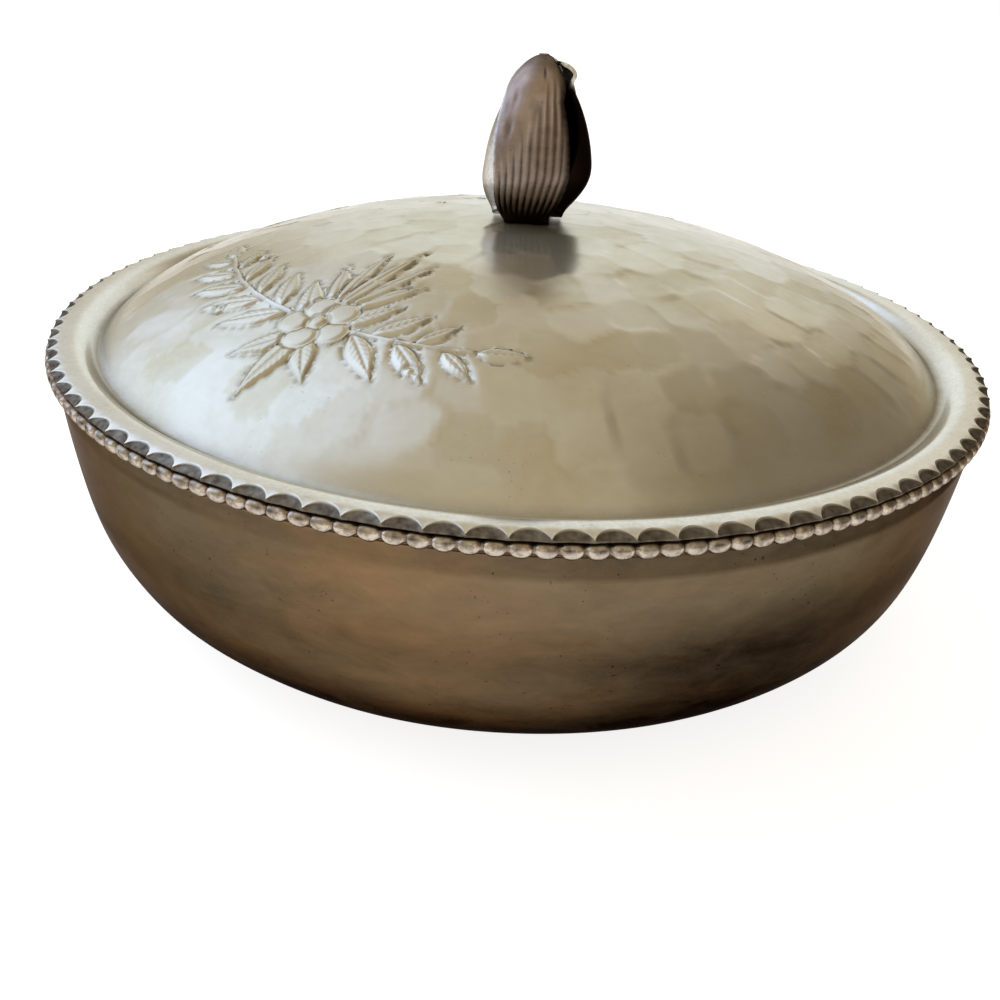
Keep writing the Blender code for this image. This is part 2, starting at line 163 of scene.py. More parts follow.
@dataclass(frozen=True)
class AluminiumFinish:
    """Pressed sheet aluminium, dulled by use.

    It has patches of tarnish, specks, and dirt in its hollows. Its dirt colour also serves as
    painted shade and painted dark reflection. Colours are sRGB hex. Lengths are in metres.
    """

    name: str
    clean: str
    tarnish: str
    # The dirt colour also serves for painted shade and painted dark reflection
    dirt: str
    rub_and_highlight: str
    inside: str
    roughness: tuple[float, float]
    tarnish_range: tuple[float, float]
    patch_size: float
    patch_stretch: Place
    band_size: float
    band_amount: float
    tone_amount: float
    speck_size: float
    speck_start: float
    speck_amount: float
    dirt_grain: tuple[float, float]
    edge_tint: str
    brushing_depth: float
    orange_peel_depth: float
    rub_grain: tuple[float, float]
    film_size: float
    film_amount: float
    soiled_tint: str
    metallic: float = 1.0
    band_stretch: Place = (0.12, 0.12, 1.0)
    rub_size: float = 1.0 * MM
    rub_levels: tuple[float, float] = (0.38, 0.60)
    rub_smoothing: float = 0.08
    grain_size: float = 1.6 * MM
    grain_levels: tuple[float, float] = (0.3, 0.7)
    film_stretch: Place = (1.0, 1.0, 2.2)
    film_levels: tuple[float, float] = (0.38, 0.68)
    speck_edge: float = 0.05
    cluster_size: float = 16 * MM
    cluster_weight: float = 0.30
    dirt_roughness: float = 0.25
    turning_pitch: float = 0.25 * MM
    peel_size: float = 3.2 * MM

    def material(self) -> bpy.types.Material:
        """Build the node tree of this finish.

        Returns:
            The material.
        """
        material, tree = new_tree(self.name)
        place = add_node(tree, "ShaderNodeTexCoord").outputs["Object"]
        patches = self.patches(tree, place)
        color = add_node(tree, "ShaderNodeMix", {
            0: patches, 6: linear(self.clean), 7: linear(self.tarnish),
        }, data_type="RGBA").outputs[2]
        # The inner faces saw less handling and washing, so they are paler and greyer
        within = add_node(tree, "ShaderNodeAttribute", attribute_name="within").outputs["Fac"]
        color = add_node(tree, "ShaderNodeMix", {0: within, 6: color, 7: linear(self.inside)},
                         data_type="RGBA").outputs[2]
        rub_and_highlight = add_node(tree, "ShaderNodeAttribute", attribute_name="shine").outputs["Fac"]
        # Raised parts are rubbed bright, and some parts carry a painted highlight, in spots only
        spots = add_node(tree, "ShaderNodeTexNoise", {
            "Vector": place, "Scale": 1 / self.rub_size, "Detail": 2.0,
        }).outputs["Fac"]
        spots = add_node(tree, "ShaderNodeMapRange", (
            spots, *self.rub_levels, *self.rub_grain,
        )).outputs[0]
        shine = add_node(tree, "ShaderNodeMath", (rub_and_highlight, spots), operation="MULTIPLY",
                         use_clamp=True).outputs[0]
        color = add_node(tree, "ShaderNodeMix", {0: shine, 6: color, 7: linear(self.rub_and_highlight)},
                         data_type="RGBA").outputs[2]
        dirt = self.dirt_cover(tree, place)
        color = add_node(tree, "ShaderNodeMix", {0: dirt, 6: color, 7: linear(self.dirt)},
                         data_type="RGBA").outputs[2]
        dullness = add_node(tree, "ShaderNodeMapRange", (
            patches, 0.0, 1.0, *self.roughness,
        )).outputs[0]
        for layer, change in ((dirt, self.dirt_roughness), (shine, -self.rub_smoothing)):
            dullness = add_node(tree, "ShaderNodeMath", (layer, change, dullness),
                                operation="MULTIPLY_ADD").outputs[0]
        # Dirt takes away the glancing shine of the metal
        tint = add_node(tree, "ShaderNodeMix", {
            0: dirt, 6: linear(self.edge_tint), 7: linear(self.soiled_tint),
        }, data_type="RGBA").outputs[2]
        shader = add_node(tree, "ShaderNodeBsdfPrincipled", {
            "Base Color": color,
            "Metallic": self.metallic,
            "Roughness": dullness,
            "Specular Tint": tint,
            "Normal": self.surface_bumps(tree, place),
        })
        add_node(tree, "ShaderNodeOutputMaterial", {"Surface": shader.outputs[0]})
        return material

    def patches(self, tree: bpy.types.NodeTree, place: Socket) -> Socket:
        """Cloudy patches of tarnish, crossed by soft level bands.

        Args:
            tree: The material's tree.
            place: The object coordinates.

        Returns:
            The share of tarnish, 0 to 1.
        """
        stretched = add_node(tree, "ShaderNodeVectorMath", (place, self.patch_stretch),
                             operation="MULTIPLY").outputs[0]
        cloud = add_node(tree, "ShaderNodeTexNoise", {
            "Vector": stretched, "Scale": 1 / self.patch_size, "Detail": 6.0, "Roughness": 0.60,
            "Distortion": 0.3,
        }).outputs["Fac"]
        height = add_node(tree, "ShaderNodeVectorMath", (place, self.band_stretch),
                          operation="MULTIPLY").outputs[0]
        bands = add_node(tree, "ShaderNodeTexNoise", {
            "Vector": height, "Scale": 1 / self.band_size, "Detail": 3.0,
        }).outputs["Fac"]
        total = add_node(tree, "ShaderNodeMath", (bands, self.band_amount, cloud),
                         operation="MULTIPLY_ADD").outputs[0]
        # Each hammer facet was struck and rubbed a little differently, so its tone differs
        tone = add_node(tree, "ShaderNodeAttribute", attribute_name="tone").outputs["Fac"]
        total = add_node(tree, "ShaderNodeMath", (tone, self.tone_amount, total),
                         operation="MULTIPLY_ADD").outputs[0]
        return add_node(tree, "ShaderNodeMapRange", (total, *self.tarnish_range),
                        interpolation_type="SMOOTHSTEP").outputs[0]

    def dirt_cover(self, tree: bpy.types.NodeTree, place: Socket) -> Socket:
        """Dirt in the hollows and painted shade, broken up by a fine grain, and small dark specks
        on open faces.

        Args:
            tree: The material's tree.
            place: The object coordinates.

        Returns:
            The cover of dirt and painted shade, 0 to 1.
        """
        # The mesh attribute read here holds both dirt and painted shade
        hollow = add_node(tree, "ShaderNodeAttribute", attribute_name="grime").outputs["Fac"]
        grain = add_node(tree, "ShaderNodeTexNoise", {
            "Vector": place, "Scale": 1 / self.grain_size, "Detail": 4.0,
        }).outputs["Fac"]
        broken = add_node(tree, "ShaderNodeMapRange", (
            grain, *self.grain_levels, *self.dirt_grain,
        )).outputs[0]
        cover = add_node(tree, "ShaderNodeMath", (hollow, broken),
                         operation="MULTIPLY").outputs[0]
        # A thin film of dirt dulls the open faces in cloudy smears that lie level
        level = add_node(tree, "ShaderNodeVectorMath", (place, self.film_stretch),
                         operation="MULTIPLY").outputs[0]
        smears = add_node(tree, "ShaderNodeTexNoise", {
            "Vector": level, "Scale": 1 / self.film_size, "Detail": 7.0, "Roughness": 0.72,
            "Distortion": 0.4,
        }).outputs["Fac"]
        film = add_node(tree, "ShaderNodeMapRange", (
            smears, *self.film_levels, 0.0, self.film_amount,
        )).outputs[0]
        cover = add_node(tree, "ShaderNodeMath", (cover, film), operation="ADD").outputs[0]
        # Specks of old dirt stand in loose clusters
        spots, cluster = (add_node(tree, "ShaderNodeTexNoise", {
            "Vector": place, "Scale": 1 / size, "Detail": 2.0,
        }).outputs["Fac"] for size in (self.speck_size, self.cluster_size))
        crowd = add_node(tree, "ShaderNodeMath", (cluster, self.cluster_weight, spots),
                         operation="MULTIPLY_ADD").outputs[0]
        speck = add_node(tree, "ShaderNodeMapRange", (
            crowd, self.speck_start, self.speck_start + self.speck_edge,
        )).outputs[0]
        return add_node(tree, "ShaderNodeMath", (speck, self.speck_amount, cover),
                        operation="MULTIPLY_ADD", use_clamp=True).outputs[0]

    def surface_bumps(self, tree: bpy.types.NodeTree, place: Socket) -> Socket:
        """Turning lines left by the lathe, and the soft unevenness of worked sheet.

        Args:
            tree: The material's tree.
            place: The object coordinates.

        Returns:
            The bumped normal.
        """
        level = add_node(tree, "ShaderNodeVectorMath", (place, (1.0, 1.0, 0.0)),
                         operation="MULTIPLY").outputs[0]
        radius = add_node(tree, "ShaderNodeVectorMath", (level,),
                          operation="LENGTH").outputs["Value"]
        height = add_node(tree, "ShaderNodeSeparateXYZ", (place,)).outputs["Z"]
        across = add_node(tree, "ShaderNodeMath", (radius, height),
                          operation="ADD").outputs[0]
        # Real turning lines are about 0.1 mm apart; they are drawn wider so that they show
        lines = add_node(tree, "ShaderNodeTexNoise", {
            "W": across, "Scale": 1 / self.turning_pitch, "Detail": 2.0,
        }, noise_dimensions="1D").outputs["Fac"]
        turned = add_node(tree, "ShaderNodeBump", {
            "Height": lines, "Strength": 1.0, "Distance": self.brushing_depth,
        }).outputs[0]
        peel = add_node(tree, "ShaderNodeTexNoise", {
            "Vector": place, "Scale": 1 / self.peel_size, "Detail": 1.0,
        }).outputs["Fac"]
        return add_node(tree, "ShaderNodeBump", {
            "Height": peel, "Strength": 1.0, "Distance": self.orange_peel_depth, "Normal": turned,
        }).outputs[0]


@dataclass(frozen=True)
class SteelFinish:
    """Zinc plated steel, as on stock screws, nuts and washers."""

    name: str = "zinc_plated_steel"
    plating: str = "B9B9B4"
    dull: str = "8A8880"
    roughness: tuple[float, float] = (0.30, 0.46)
    grain_size: float = 1.5 * MM

    def material(self) -> bpy.types.Material:
        """Build the node tree of this finish.

        Returns:
            The material.
        """
        material, tree = new_tree(self.name)
        place = add_node(tree, "ShaderNodeTexCoord").outputs["Object"]
        # Plating dulls unevenly, which gives a cloudy grey
        cloud = add_node(tree, "ShaderNodeTexNoise", {
            "Vector": place, "Scale": 1 / self.grain_size, "Detail": 3.0,
        }).outputs["Fac"]
        color = add_node(tree, "ShaderNodeMix", {
            0: cloud, 6: linear(self.plating), 7: linear(self.dull),
        }, data_type="RGBA").outputs[2]
        dullness = add_node(tree, "ShaderNodeMapRange", (
            cloud, 0.0, 1.0, *self.roughness,
        )).outputs[0]
        shader = add_node(tree, "ShaderNodeBsdfPrincipled", {
            "Base Color": color, "Metallic": 1.0, "Roughness": dullness,
        })
        add_node(tree, "ShaderNodeOutputMaterial", {"Surface": shader.outputs[0]})
        return material


LID_FINISH = AluminiumFinish(
    name="hammered_polished_aluminium",
    clean="CFCABA", tarnish="B9AE8E", dirt="40332B", rub_and_highlight="E4E2DA", inside="B9B3A3",
    edge_tint="E8E4DA", soiled_tint="4A3E36", roughness=(0.20, 0.28),
    tarnish_range=(0.36, 0.92), patch_size=40 * MM, patch_stretch=(1.0, 1.0, 1.0),
    band_size=30 * MM, band_amount=0.1, tone_amount=0.13,
    speck_size=0.6 * MM, speck_start=0.89, speck_amount=0.34, dirt_grain=(0.85, 1.15),
    brushing_depth=0.004 * MM, orange_peel_depth=0.006 * MM, rub_grain=(0.75, 1.15),
    film_size=6 * MM, film_amount=0.06,
    # The skin of oxide on the long unpolished lid scatters part of the light
    metallic=0.78,
)
# The bowl's brown clean colour is a painted reflection of a brown table below it; the bare metal is
# greyer
BOWL_FINISH = AluminiumFinish(
    name="spun_tarnished_aluminium_with_painted_reflection",
    clean="957552", tarnish="7E715B", dirt="1E140C", rub_and_highlight="D2C6B8", inside="ABA392",
    edge_tint="9C9294", soiled_tint="8C8284", roughness=(0.28, 0.36),
    tarnish_range=(0.30, 1.00), patch_size=45 * MM, patch_stretch=(1.0, 1.0, 2.4),
    band_size=8 * MM, band_amount=0.30, tone_amount=0.35,
    speck_size=0.8 * MM, speck_start=0.87, speck_amount=0.35, dirt_grain=(1.0, 1.0),
    brushing_depth=0.006 * MM, orange_peel_depth=0.008 * MM, rub_grain=(0.45, 1.3),
    film_size=14 * MM, film_amount=0.16,
)
KNOB_FINISH = AluminiumFinish(
    name="pressed_handled_aluminium",
    clean="B6A69A", tarnish="907A6D", dirt="1C1510", rub_and_highlight="DCD8D2", inside="6E655D",
    edge_tint="B4ACA4", soiled_tint="A09890", roughness=(0.26, 0.34),
    tarnish_range=(0.42, 0.85), patch_size=14 * MM, patch_stretch=(1.0, 1.0, 0.6),
    band_size=12 * MM, band_amount=0.2, tone_amount=0.0,
    speck_size=0.7 * MM, speck_start=0.86, speck_amount=0.35, dirt_grain=(1.0, 1.0),
    brushing_depth=0.0, orange_peel_depth=0.010 * MM, rub_grain=(0.6, 1.3),
    film_size=5 * MM, film_amount=0.15,
)
# The inner faces of the petals are painted nearly black, as painted shade inside the bud
INSIDE_SHADE_FINISH = replace(KNOB_FINISH, name="pressed_aluminium_painted_inside_shade", clean="2E2723",
                        tarnish="1D1815", roughness=(0.45, 0.60))


# Mesh helpers


@dataclass
class Piece:
    """A finished mesh with what the frame needs to know about it."""

    name: str
    body: Body
    slot: Slot
    nodes: tuple[str, ...]
    sharp_angle: float

    def place(self, bm: bmesh.types.BMesh, material: bpy.types.Material) -> bpy.types.Object:
        """Turn the mesh into an object that rides on its body and stands for its nodes.

        Args:
            bm: The finished mesh, which is freed.
            material: The finish of all its faces.

        Returns:
            The new object.
        """
        mesh = bpy.data.meshes.new(self.name)
        bm.to_mesh(mesh)
        bm.free()
        mesh.materials.append(material)
        mesh.shade_smooth()
        mesh.set_sharp_from_angle(angle=self.sharp_angle)
        thing = bpy.data.objects.new(self.name, mesh)
        bpy.context.scene.collection.objects.link(thing)
        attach(thing, self.body.value)
        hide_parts(*self.nodes)
        LOG.info("%s rides on %s with %d faces", self.name, self.body.value, len(mesh.polygons))
        return thing


@dataclass(frozen=True)
class Station:
    """A corner of a profile: its radius and height, and the rows from it to the next corner."""

    radius: float
    height: float
    rows: int = 1


class Turned:
    """A shell turned from a profile, whose points keep their place along it."""

    def __init__(self, stations: Sequence[Station]) -> None:
        """Draw the profile through the stations and divide it into rows.

        Args:
            stations: The corners in order. A closed profile repeats its first one at the end.
        """
        self.bm = bmesh.new()
        layers = self.bm.verts.layers.float
        for name in ("run", "radius", "height", "grime", "shine", "within", "tone"):
            layers.new(name)
        self.run, self.radius, self.height = layers["run"], layers["radius"], layers["height"]
        self.grime, self.shine, self.within = layers["grime"], layers["shine"], layers["within"]
        self.tone = layers["tone"]
        chain = []
        for number, station in enumerate(stations):
            vert = self.bm.verts.new((station.radius, 0.0, station.height))
            vert[self.run] = number
            chain.append(vert)
        for first, second in zip(chain, chain[1:]):
            self.bm.edges.new((first, second))
        for number, station in enumerate(stations[:-1]):
            ends = {number, number + 1}
            edges = [edge for edge in self.bm.edges
                     if {vert[self.run] for vert in edge.verts} == ends]
            if station.rows > 1:
                bmesh.ops.subdivide_edges(self.bm, edges=edges, cuts=station.rows - 1)

    def bend(self, first: int, last: int, place: Callable[[float], tuple[float, float]]) -> None:
        """Move the profile's points between two stations.

        Args:
            first: Number of the first station.
            last: Number of the last station.
            place: Gives radius and height from the share of the way between them.
        """
        for vert in self.bm.verts:
            if first <= vert[self.run] <= last:
                radius, height = place((vert[self.run] - first) / (last - first))
                vert.co = (radius, 0.0, height)

    def soften(self, first: float, last: float, times: int) -> None:
        """Round the profile's corners between two places along it.

        Args:
            first: Where the rounding starts, in stations.
            last: Where it ends.
            times: How often each point moves towards its neighbours.
        """
        verts = [vert for vert in self.bm.verts if first < vert[self.run] < last]
        for _ in range(times):
            bmesh.ops.smooth_vert(self.bm, verts=verts, factor=0.5, use_axis_x=True,
                                  use_axis_z=True)

    def turn(self, columns: int) -> None:
        """Turn the profile into a closed shell.

        Args:
            columns: How many columns a full turn gets.
        """
        for vert in self.bm.verts:
            vert[self.radius], vert[self.height] = vert.co.x, vert.co.z
        bmesh.ops.spin(self.bm, geom=self.bm.verts[:] + self.bm.edges[:], cent=(0, 0, 0),
                       axis=(0, 0, 1), dvec=(0, 0, 0), angle=FULL_TURN, steps=columns,
                       use_merge=True)
        bmesh.ops.remove_doubles(self.bm, verts=self.bm.verts[:], dist=MERGE_DISTANCE)

    def refine(self, cuts: int, chosen: Callable[[float, float], bool]) -> None:
        """Cut the level edges of some rows, which gives those rows more columns.

        Args:
            cuts: Cuts in each edge.
            chosen: Says from a point's run and radius whether its ring is cut.
        """
        edges = []
        for edge in self.bm.edges:
            first, second = edge.verts
            is_level = abs(first[self.run] - second[self.run]) < SAME_RUN
            if is_level and chosen(first[self.run], first[self.radius]):
                edges.append(edge)
        bmesh.ops.subdivide_edges(self.bm, edges=edges, cuts=cuts, use_grid_fill=True)

    def shape(self, place: Callable[[bmesh.types.BMVert, float], Place]) -> None:
        """Give each point its final place.

        Args:
            place: Gives radius, angle and height from the point and its old angle.
        """
        for vert in self.bm.verts:
            radius, angle, height = place(vert, math.atan2(vert.co.y, vert.co.x))
            vert.co = (radius * math.cos(angle), radius * math.sin(angle), height)

    def points(self) -> np.ndarray:
        """All points as an array of three columns."""
        return np.array([vert.co for vert in self.bm.verts])

    def close(self) -> bmesh.types.BMesh:
        """Turn all faces outwards and hand over the mesh."""
        bmesh.ops.recalc_face_normals(self.bm, faces=self.bm.faces[:])
        return self.bm


def share_along_pitch(angle: float, count: int) -> float:
    """How far round its own pitch an angle lies, 0 and 1 at its joints.

    Args:
        angle: The angle round the axis.
        count: How many pitches make a full turn.

    Returns:
        The share of the pitch.
    """
    return ((angle + math.pi / 2) / FULL_TURN * count) % 1.0


def bezier(corners: Sequence[tuple[float, float]], share: float) -> Vector:
    """A point on a cubic curve.

    Args:
        corners: The start, its handle, the end's handle and the end.
        share: How far along the curve.

    Returns:
        The point.
    """
    start, leave, arrive, end = (Vector(corner) for corner in corners)
    rest = 1 - share
    return (rest ** 3 * start + 3 * rest ** 2 * share * leave
            + 3 * rest * share ** 2 * arrive + share ** 3 * end)


# Bowl


class BowlStation(IntEnum):
    """Corners of the bowl's profile, from under its base over the rim to the middle inside."""

    UNDER_MIDDLE = 0
    BASE = 1
    CREASE = 2
    COLLAR = 3
    BEAD_BOTTOM = 4
    BEAD_TOP = 5
    RIM = 6
    MOUTH = 7
    MOUTH_FOOT = 8
    INNER_CREASE = 9
    INNER_BASE = 10
    INNER_MIDDLE = 11


@dataclass
class Bowl:
    """The spun bowl with its rim of pressed half-round beads."""

    rim_radius: float = 0.1270
    height: float = 0.0682
    base_radius: float = 0.0876
    wall: float = 0.0014
    rim_width: float = 0.0050
    collar_height: float = 0.0049
    collar_drop: float = 0.0027
    crease_bulge: float = 0.0003
    wall_pull: float = 0.0374
    wall_taper: float = 0.0020
    belly_pull: float = 0.0322
    belly_lift: float = 0.0066
    bead_count: int = 172
    bead_height: float = 0.0037
    bead_belly: float = 0.00235
    bead_depth: float = 0.0021
    bead_fullness: float = 5.0
    bead_roundness: float = 2.3
    cup_depth: float = 0.00028
    joint_share: float = 0.62
    columns_per_bead: int = 2
    bead_cuts: int = 5
    wall_rows: int = 42
    bead_rows: int = 12
    waviness: float = 0.00010
    wall_darkening: float = 0.24
    wall_blend: float = 0.022
    band_darkening: float = 0.12
    band_height: float = 0.0375
    band_reach: float = 0.004
    base_darkening: float = 0.87
    foot_height: float = 0.032
    foot_blend: float = 0.020
    right_patch_darkening: float = 0.70
    right_patch_angle: float = math.radians(-66)
    right_patch_reach: float = math.radians(21)
    right_patch_height: float = 0.062
    right_patch_blend: float = 0.026
    shade_darkening: float = 0.24
    shade_angle: float = math.radians(-114)
    shade_reach: float = math.radians(16)
    table_reflection_angle: float = math.radians(-88)
    table_reflection_reach: tuple[float, float] = (0.2, 0.65)
    ledge_darkening: tuple[float, float] = (0.22, 0.58)
    collar_darkening: float = 0.85
    joint_soil: float = 0.3
    crest_soil: float = 0.8
    bead_darkening: float = 0.95
    bead_shine: float = 0.95
    sharp_angle: float = math.radians(50)

    @property
    def bead_middle(self) -> float:
        """Height of the widest part of the beads."""
        return self.height - self.bead_height + self.bead_belly

    @property
    def crease_height(self) -> float:
        """Height of the soft crease under the beads."""
        return self.height - self.bead_height - self.collar_height

    def wall_point(self, share: float, depth: float) -> tuple[float, float]:
        """A point on the wall's curve.

        Args:
            share: 0 at the crease, 1 at the base.
            depth: How far inside the outer face it lies.

        Returns:
            Its radius and height.
        """
        crease = self.rim_radius - self.collar_drop + self.crease_bulge
        corners = (
            (crease, self.crease_height),
            (crease - self.wall_taper, self.crease_height - self.wall_pull),
            (self.base_radius + self.belly_pull, self.belly_lift),
            (self.base_radius, 0.0),
        )
        step = 0.001
        here = bezier(corners, share)
        ahead, behind = bezier(corners, min(share + step, 1)), bezier(corners, max(share - step, 0))
        run = (ahead - behind).normalized()
        return here.x + depth * run.y, here.y - depth * run.x

    def stations(self) -> list[Station]:
        """The corners of the profile.

        Returns:
            One station per corner, from the axis outside, over the rim and back inside.
        """
        collar = self.rim_radius - self.collar_drop
        root = self.rim_radius - self.bead_depth
        mouth = self.rim_radius - self.rim_width
        foot = self.height - self.bead_height
        return [
            Station(0.0, 0.0, 6),
            Station(self.base_radius, 0.0, self.wall_rows),
            Station(*self.wall_point(0.0, 0.0), 6),
            Station(collar, foot - 0.3 * MM, 2),
            Station(root, foot, self.bead_rows),
            Station(root, self.height, 2),
            Station(root - 1.0 * MM, self.height, 2),
            Station(mouth, self.height, 2),
            Station(mouth, foot, 3),
            Station(*self.wall_point(0.0, self.wall), self.wall_rows // 2),
            Station(*self.wall_point(1.0, self.wall), 6),
            Station(0.0, self.wall),
        ]

    def wall_dark_reflection(self, angle: float, height: float) -> float:
        """How far the outer wall is painted darker, as a painted dark reflection: downwards, most
        at the base, and in broad patches.

        Args:
            angle: Angle round the axis.
            height: Height above the base.

        Returns:
            The share of painted dark reflection, 0 to 1.
        """
        covers = (
            self.wall_darkening * smooth_step((self.crease_height - height) / self.wall_blend),
            self.band_darkening * bell((height - self.band_height) / self.band_reach),
            self.base_darkening * smooth_step((self.foot_height - height) / self.foot_blend),
            self.right_patch_darkening * bell(turn_from(self.right_patch_angle, angle) / self.right_patch_reach)
            * smooth_step((self.right_patch_height - height) / self.right_patch_blend),
            self.shade_darkening * bell(turn_from(self.shade_angle, angle) / self.shade_reach),
        )
        return 1 - math.prod(1 - cover for cover in covers)

    def place_point(self, turned: Turned, vert: bmesh.types.BMVert, angle: float) -> Place:
        """The final place of a point: a half ball for each bead, a slightly uneven wall below.

        Args:
            turned: The shell.
            vert: The point.
            angle: Its angle round the axis.

        Returns:
            Its radius, angle and height.
        """
        run, radius, height = vert[turned.run], vert[turned.radius], vert[turned.height]
        if run > BowlStation.RIM or run < BowlStation.COLLAR:
            if BowlStation.BASE < run < BowlStation.COLLAR:
                along = run - BowlStation.BASE
                ease = smooth_step(along * 6) * smooth_step((BowlStation.COLLAR - run) * 2)
                wave = math.sin(5 * angle + 9 * along) + 0.7 * math.sin(11 * angle - 14 * along + 1)
                radius += self.waviness * ease * wave
                # Painted dark reflection: the wall darkens downwards, most at the base, and in
                # broad patches
                vert[turned.grime] = self.wall_dark_reflection(angle, height)
                # The wall is painted brown in front, a painted reflection of a brown table, and
                # greyer all round
                turn = (angle - self.table_reflection_angle) % FULL_TURN
                before, after = self.table_reflection_reach
                vert[turned.tone] = (smooth_step(turn / after)
                                     * smooth_step((FULL_TURN - before - turn) / 0.7))
            return radius, angle, height
        share = share_along_pitch(angle, self.bead_count)
        across = 2 * share - 1
        lean = math.sin(across * math.pi / 2)
        swell = max(math.sqrt(1 - abs(lean) ** self.bead_fullness), self.joint_share)
        rounding = max(math.sqrt(1 - abs(lean) ** self.bead_roundness), self.joint_share)
        moved = angle + (lean - across) / 2 * FULL_TURN / self.bead_count
        upper = self.bead_height - self.bead_belly - 0.05 * MM
        root = self.rim_radius - self.bead_depth
        if run <= BowlStation.BEAD_BOTTOM:
            blend = run - BowlStation.COLLAR
            low = self.bead_middle - self.bead_belly * rounding
            # The collar under the beads is painted darker, as painted shade
            vert[turned.grime] = self.collar_darkening * smooth_step(blend * 3 - 2)
            return radius + (root - radius) * blend, moved, height + (low - height) * blend
        if run <= BowlStation.BEAD_TOP:
            tilt = (run - BowlStation.BEAD_BOTTOM - 0.5) * math.pi
            hollow = 1 - swell * math.cos(tilt)
            # Most beads are dented on top. Each bead carries dirt and painted shade at its root and
            # joints, a painted dark reflection in its dent, and the painted shadow of the lid's
            # edge along its top
            number = int(angle % FULL_TURN / FULL_TURN * self.bead_count)
            aside = across - 0.3 * math.sin(3.1 * number)
            cup = 0.75 + 0.25 * math.sin(7.3 * number)
            cup *= bell(aside / 0.45) * bell((tilt - 0.25) / 0.4)
            vert[turned.grime] = self.bead_darkening * max(
                smooth_step((hollow - 0.85) / 0.15),
                self.joint_soil * smooth_step((0.8 - swell) / 0.2),
                smooth_step((tilt - 0.9) / 0.6), 0.9 * cup)
            # Each bead's crown is rubbed bright and carries a painted highlight on its lower and
            # middle part
            vert[turned.shine] = (self.bead_shine * smooth_step((swell - 0.5) / 0.3)
                                  * smooth_step((1.2 - tilt) / 0.8))
            half = self.bead_belly * rounding if tilt < 0 else upper * swell
            return (root + self.bead_depth * swell * math.cos(tilt) - self.cup_depth * cup, moved,
                    self.bead_middle + half * math.sin(tilt))
        blend = run - BowlStation.BEAD_TOP
        crest = self.bead_middle + upper * swell
        vert[turned.grime] = self.crest_soil * (1 - swell)
        return (radius, angle + (moved - angle) * (1 - blend),
                crest + (self.height - crest) * blend)

    def build(self, material: bpy.types.Material) -> None:
        """Turn the bowl, press its beads and dress it.

        Args:
            material: The bowl's finish.
        """
        turned = Turned(self.stations())
        turned.bend(BowlStation.BASE, BowlStation.CREASE,
                    lambda share: self.wall_point(1 - share, 0.0))
        turned.bend(BowlStation.INNER_CREASE, BowlStation.INNER_BASE,
                    lambda share: self.wall_point(share, self.wall))
        turned.soften(BowlStation.BASE - 0.4, BowlStation.BASE + 0.2, 4)
        turned.soften(BowlStation.CREASE - 0.04, BowlStation.COLLAR - 0.2, 3)
        turned.turn(self.bead_count * self.columns_per_bead)
        turned.refine(self.bead_cuts, lambda run, _: BowlStation.COLLAR < run < BowlStation.RIM)
        turned.shape(lambda vert, angle: self.place_point(turned, vert, angle))
        for vert in turned.bm.verts:
            run = vert[turned.run]
            vert[turned.within] = smooth_step(run - BowlStation.MOUTH + 0.5)
            if BowlStation.CREASE - 0.1 < run <= BowlStation.COLLAR:
                # The crease under the beads is painted darker, as painted shade, and darker on its
                # right-hand side
                side = smooth_step((math.atan2(vert.co.y, vert.co.x) + 1.9) / 0.7)
                thin, thick = self.ledge_darkening
                ledge = thin + (thick - thin) * side
                ledge *= smooth_step((run - BowlStation.CREASE) * 3 + 0.4)
                vert[turned.grime] = 1 - (1 - vert[turned.grime]) * (1 - ledge)
        piece = Piece("bowl_shell", Body.DISH, Slot.BOWL, ("bowl",), self.sharp_angle)
        piece.place(turned.close(), material)


# Pressed garland

CHASE_DEPTH = 0.24 * MM
CHASE_SOIL = 0.32
MOTIF_MARGIN = 3 * MM


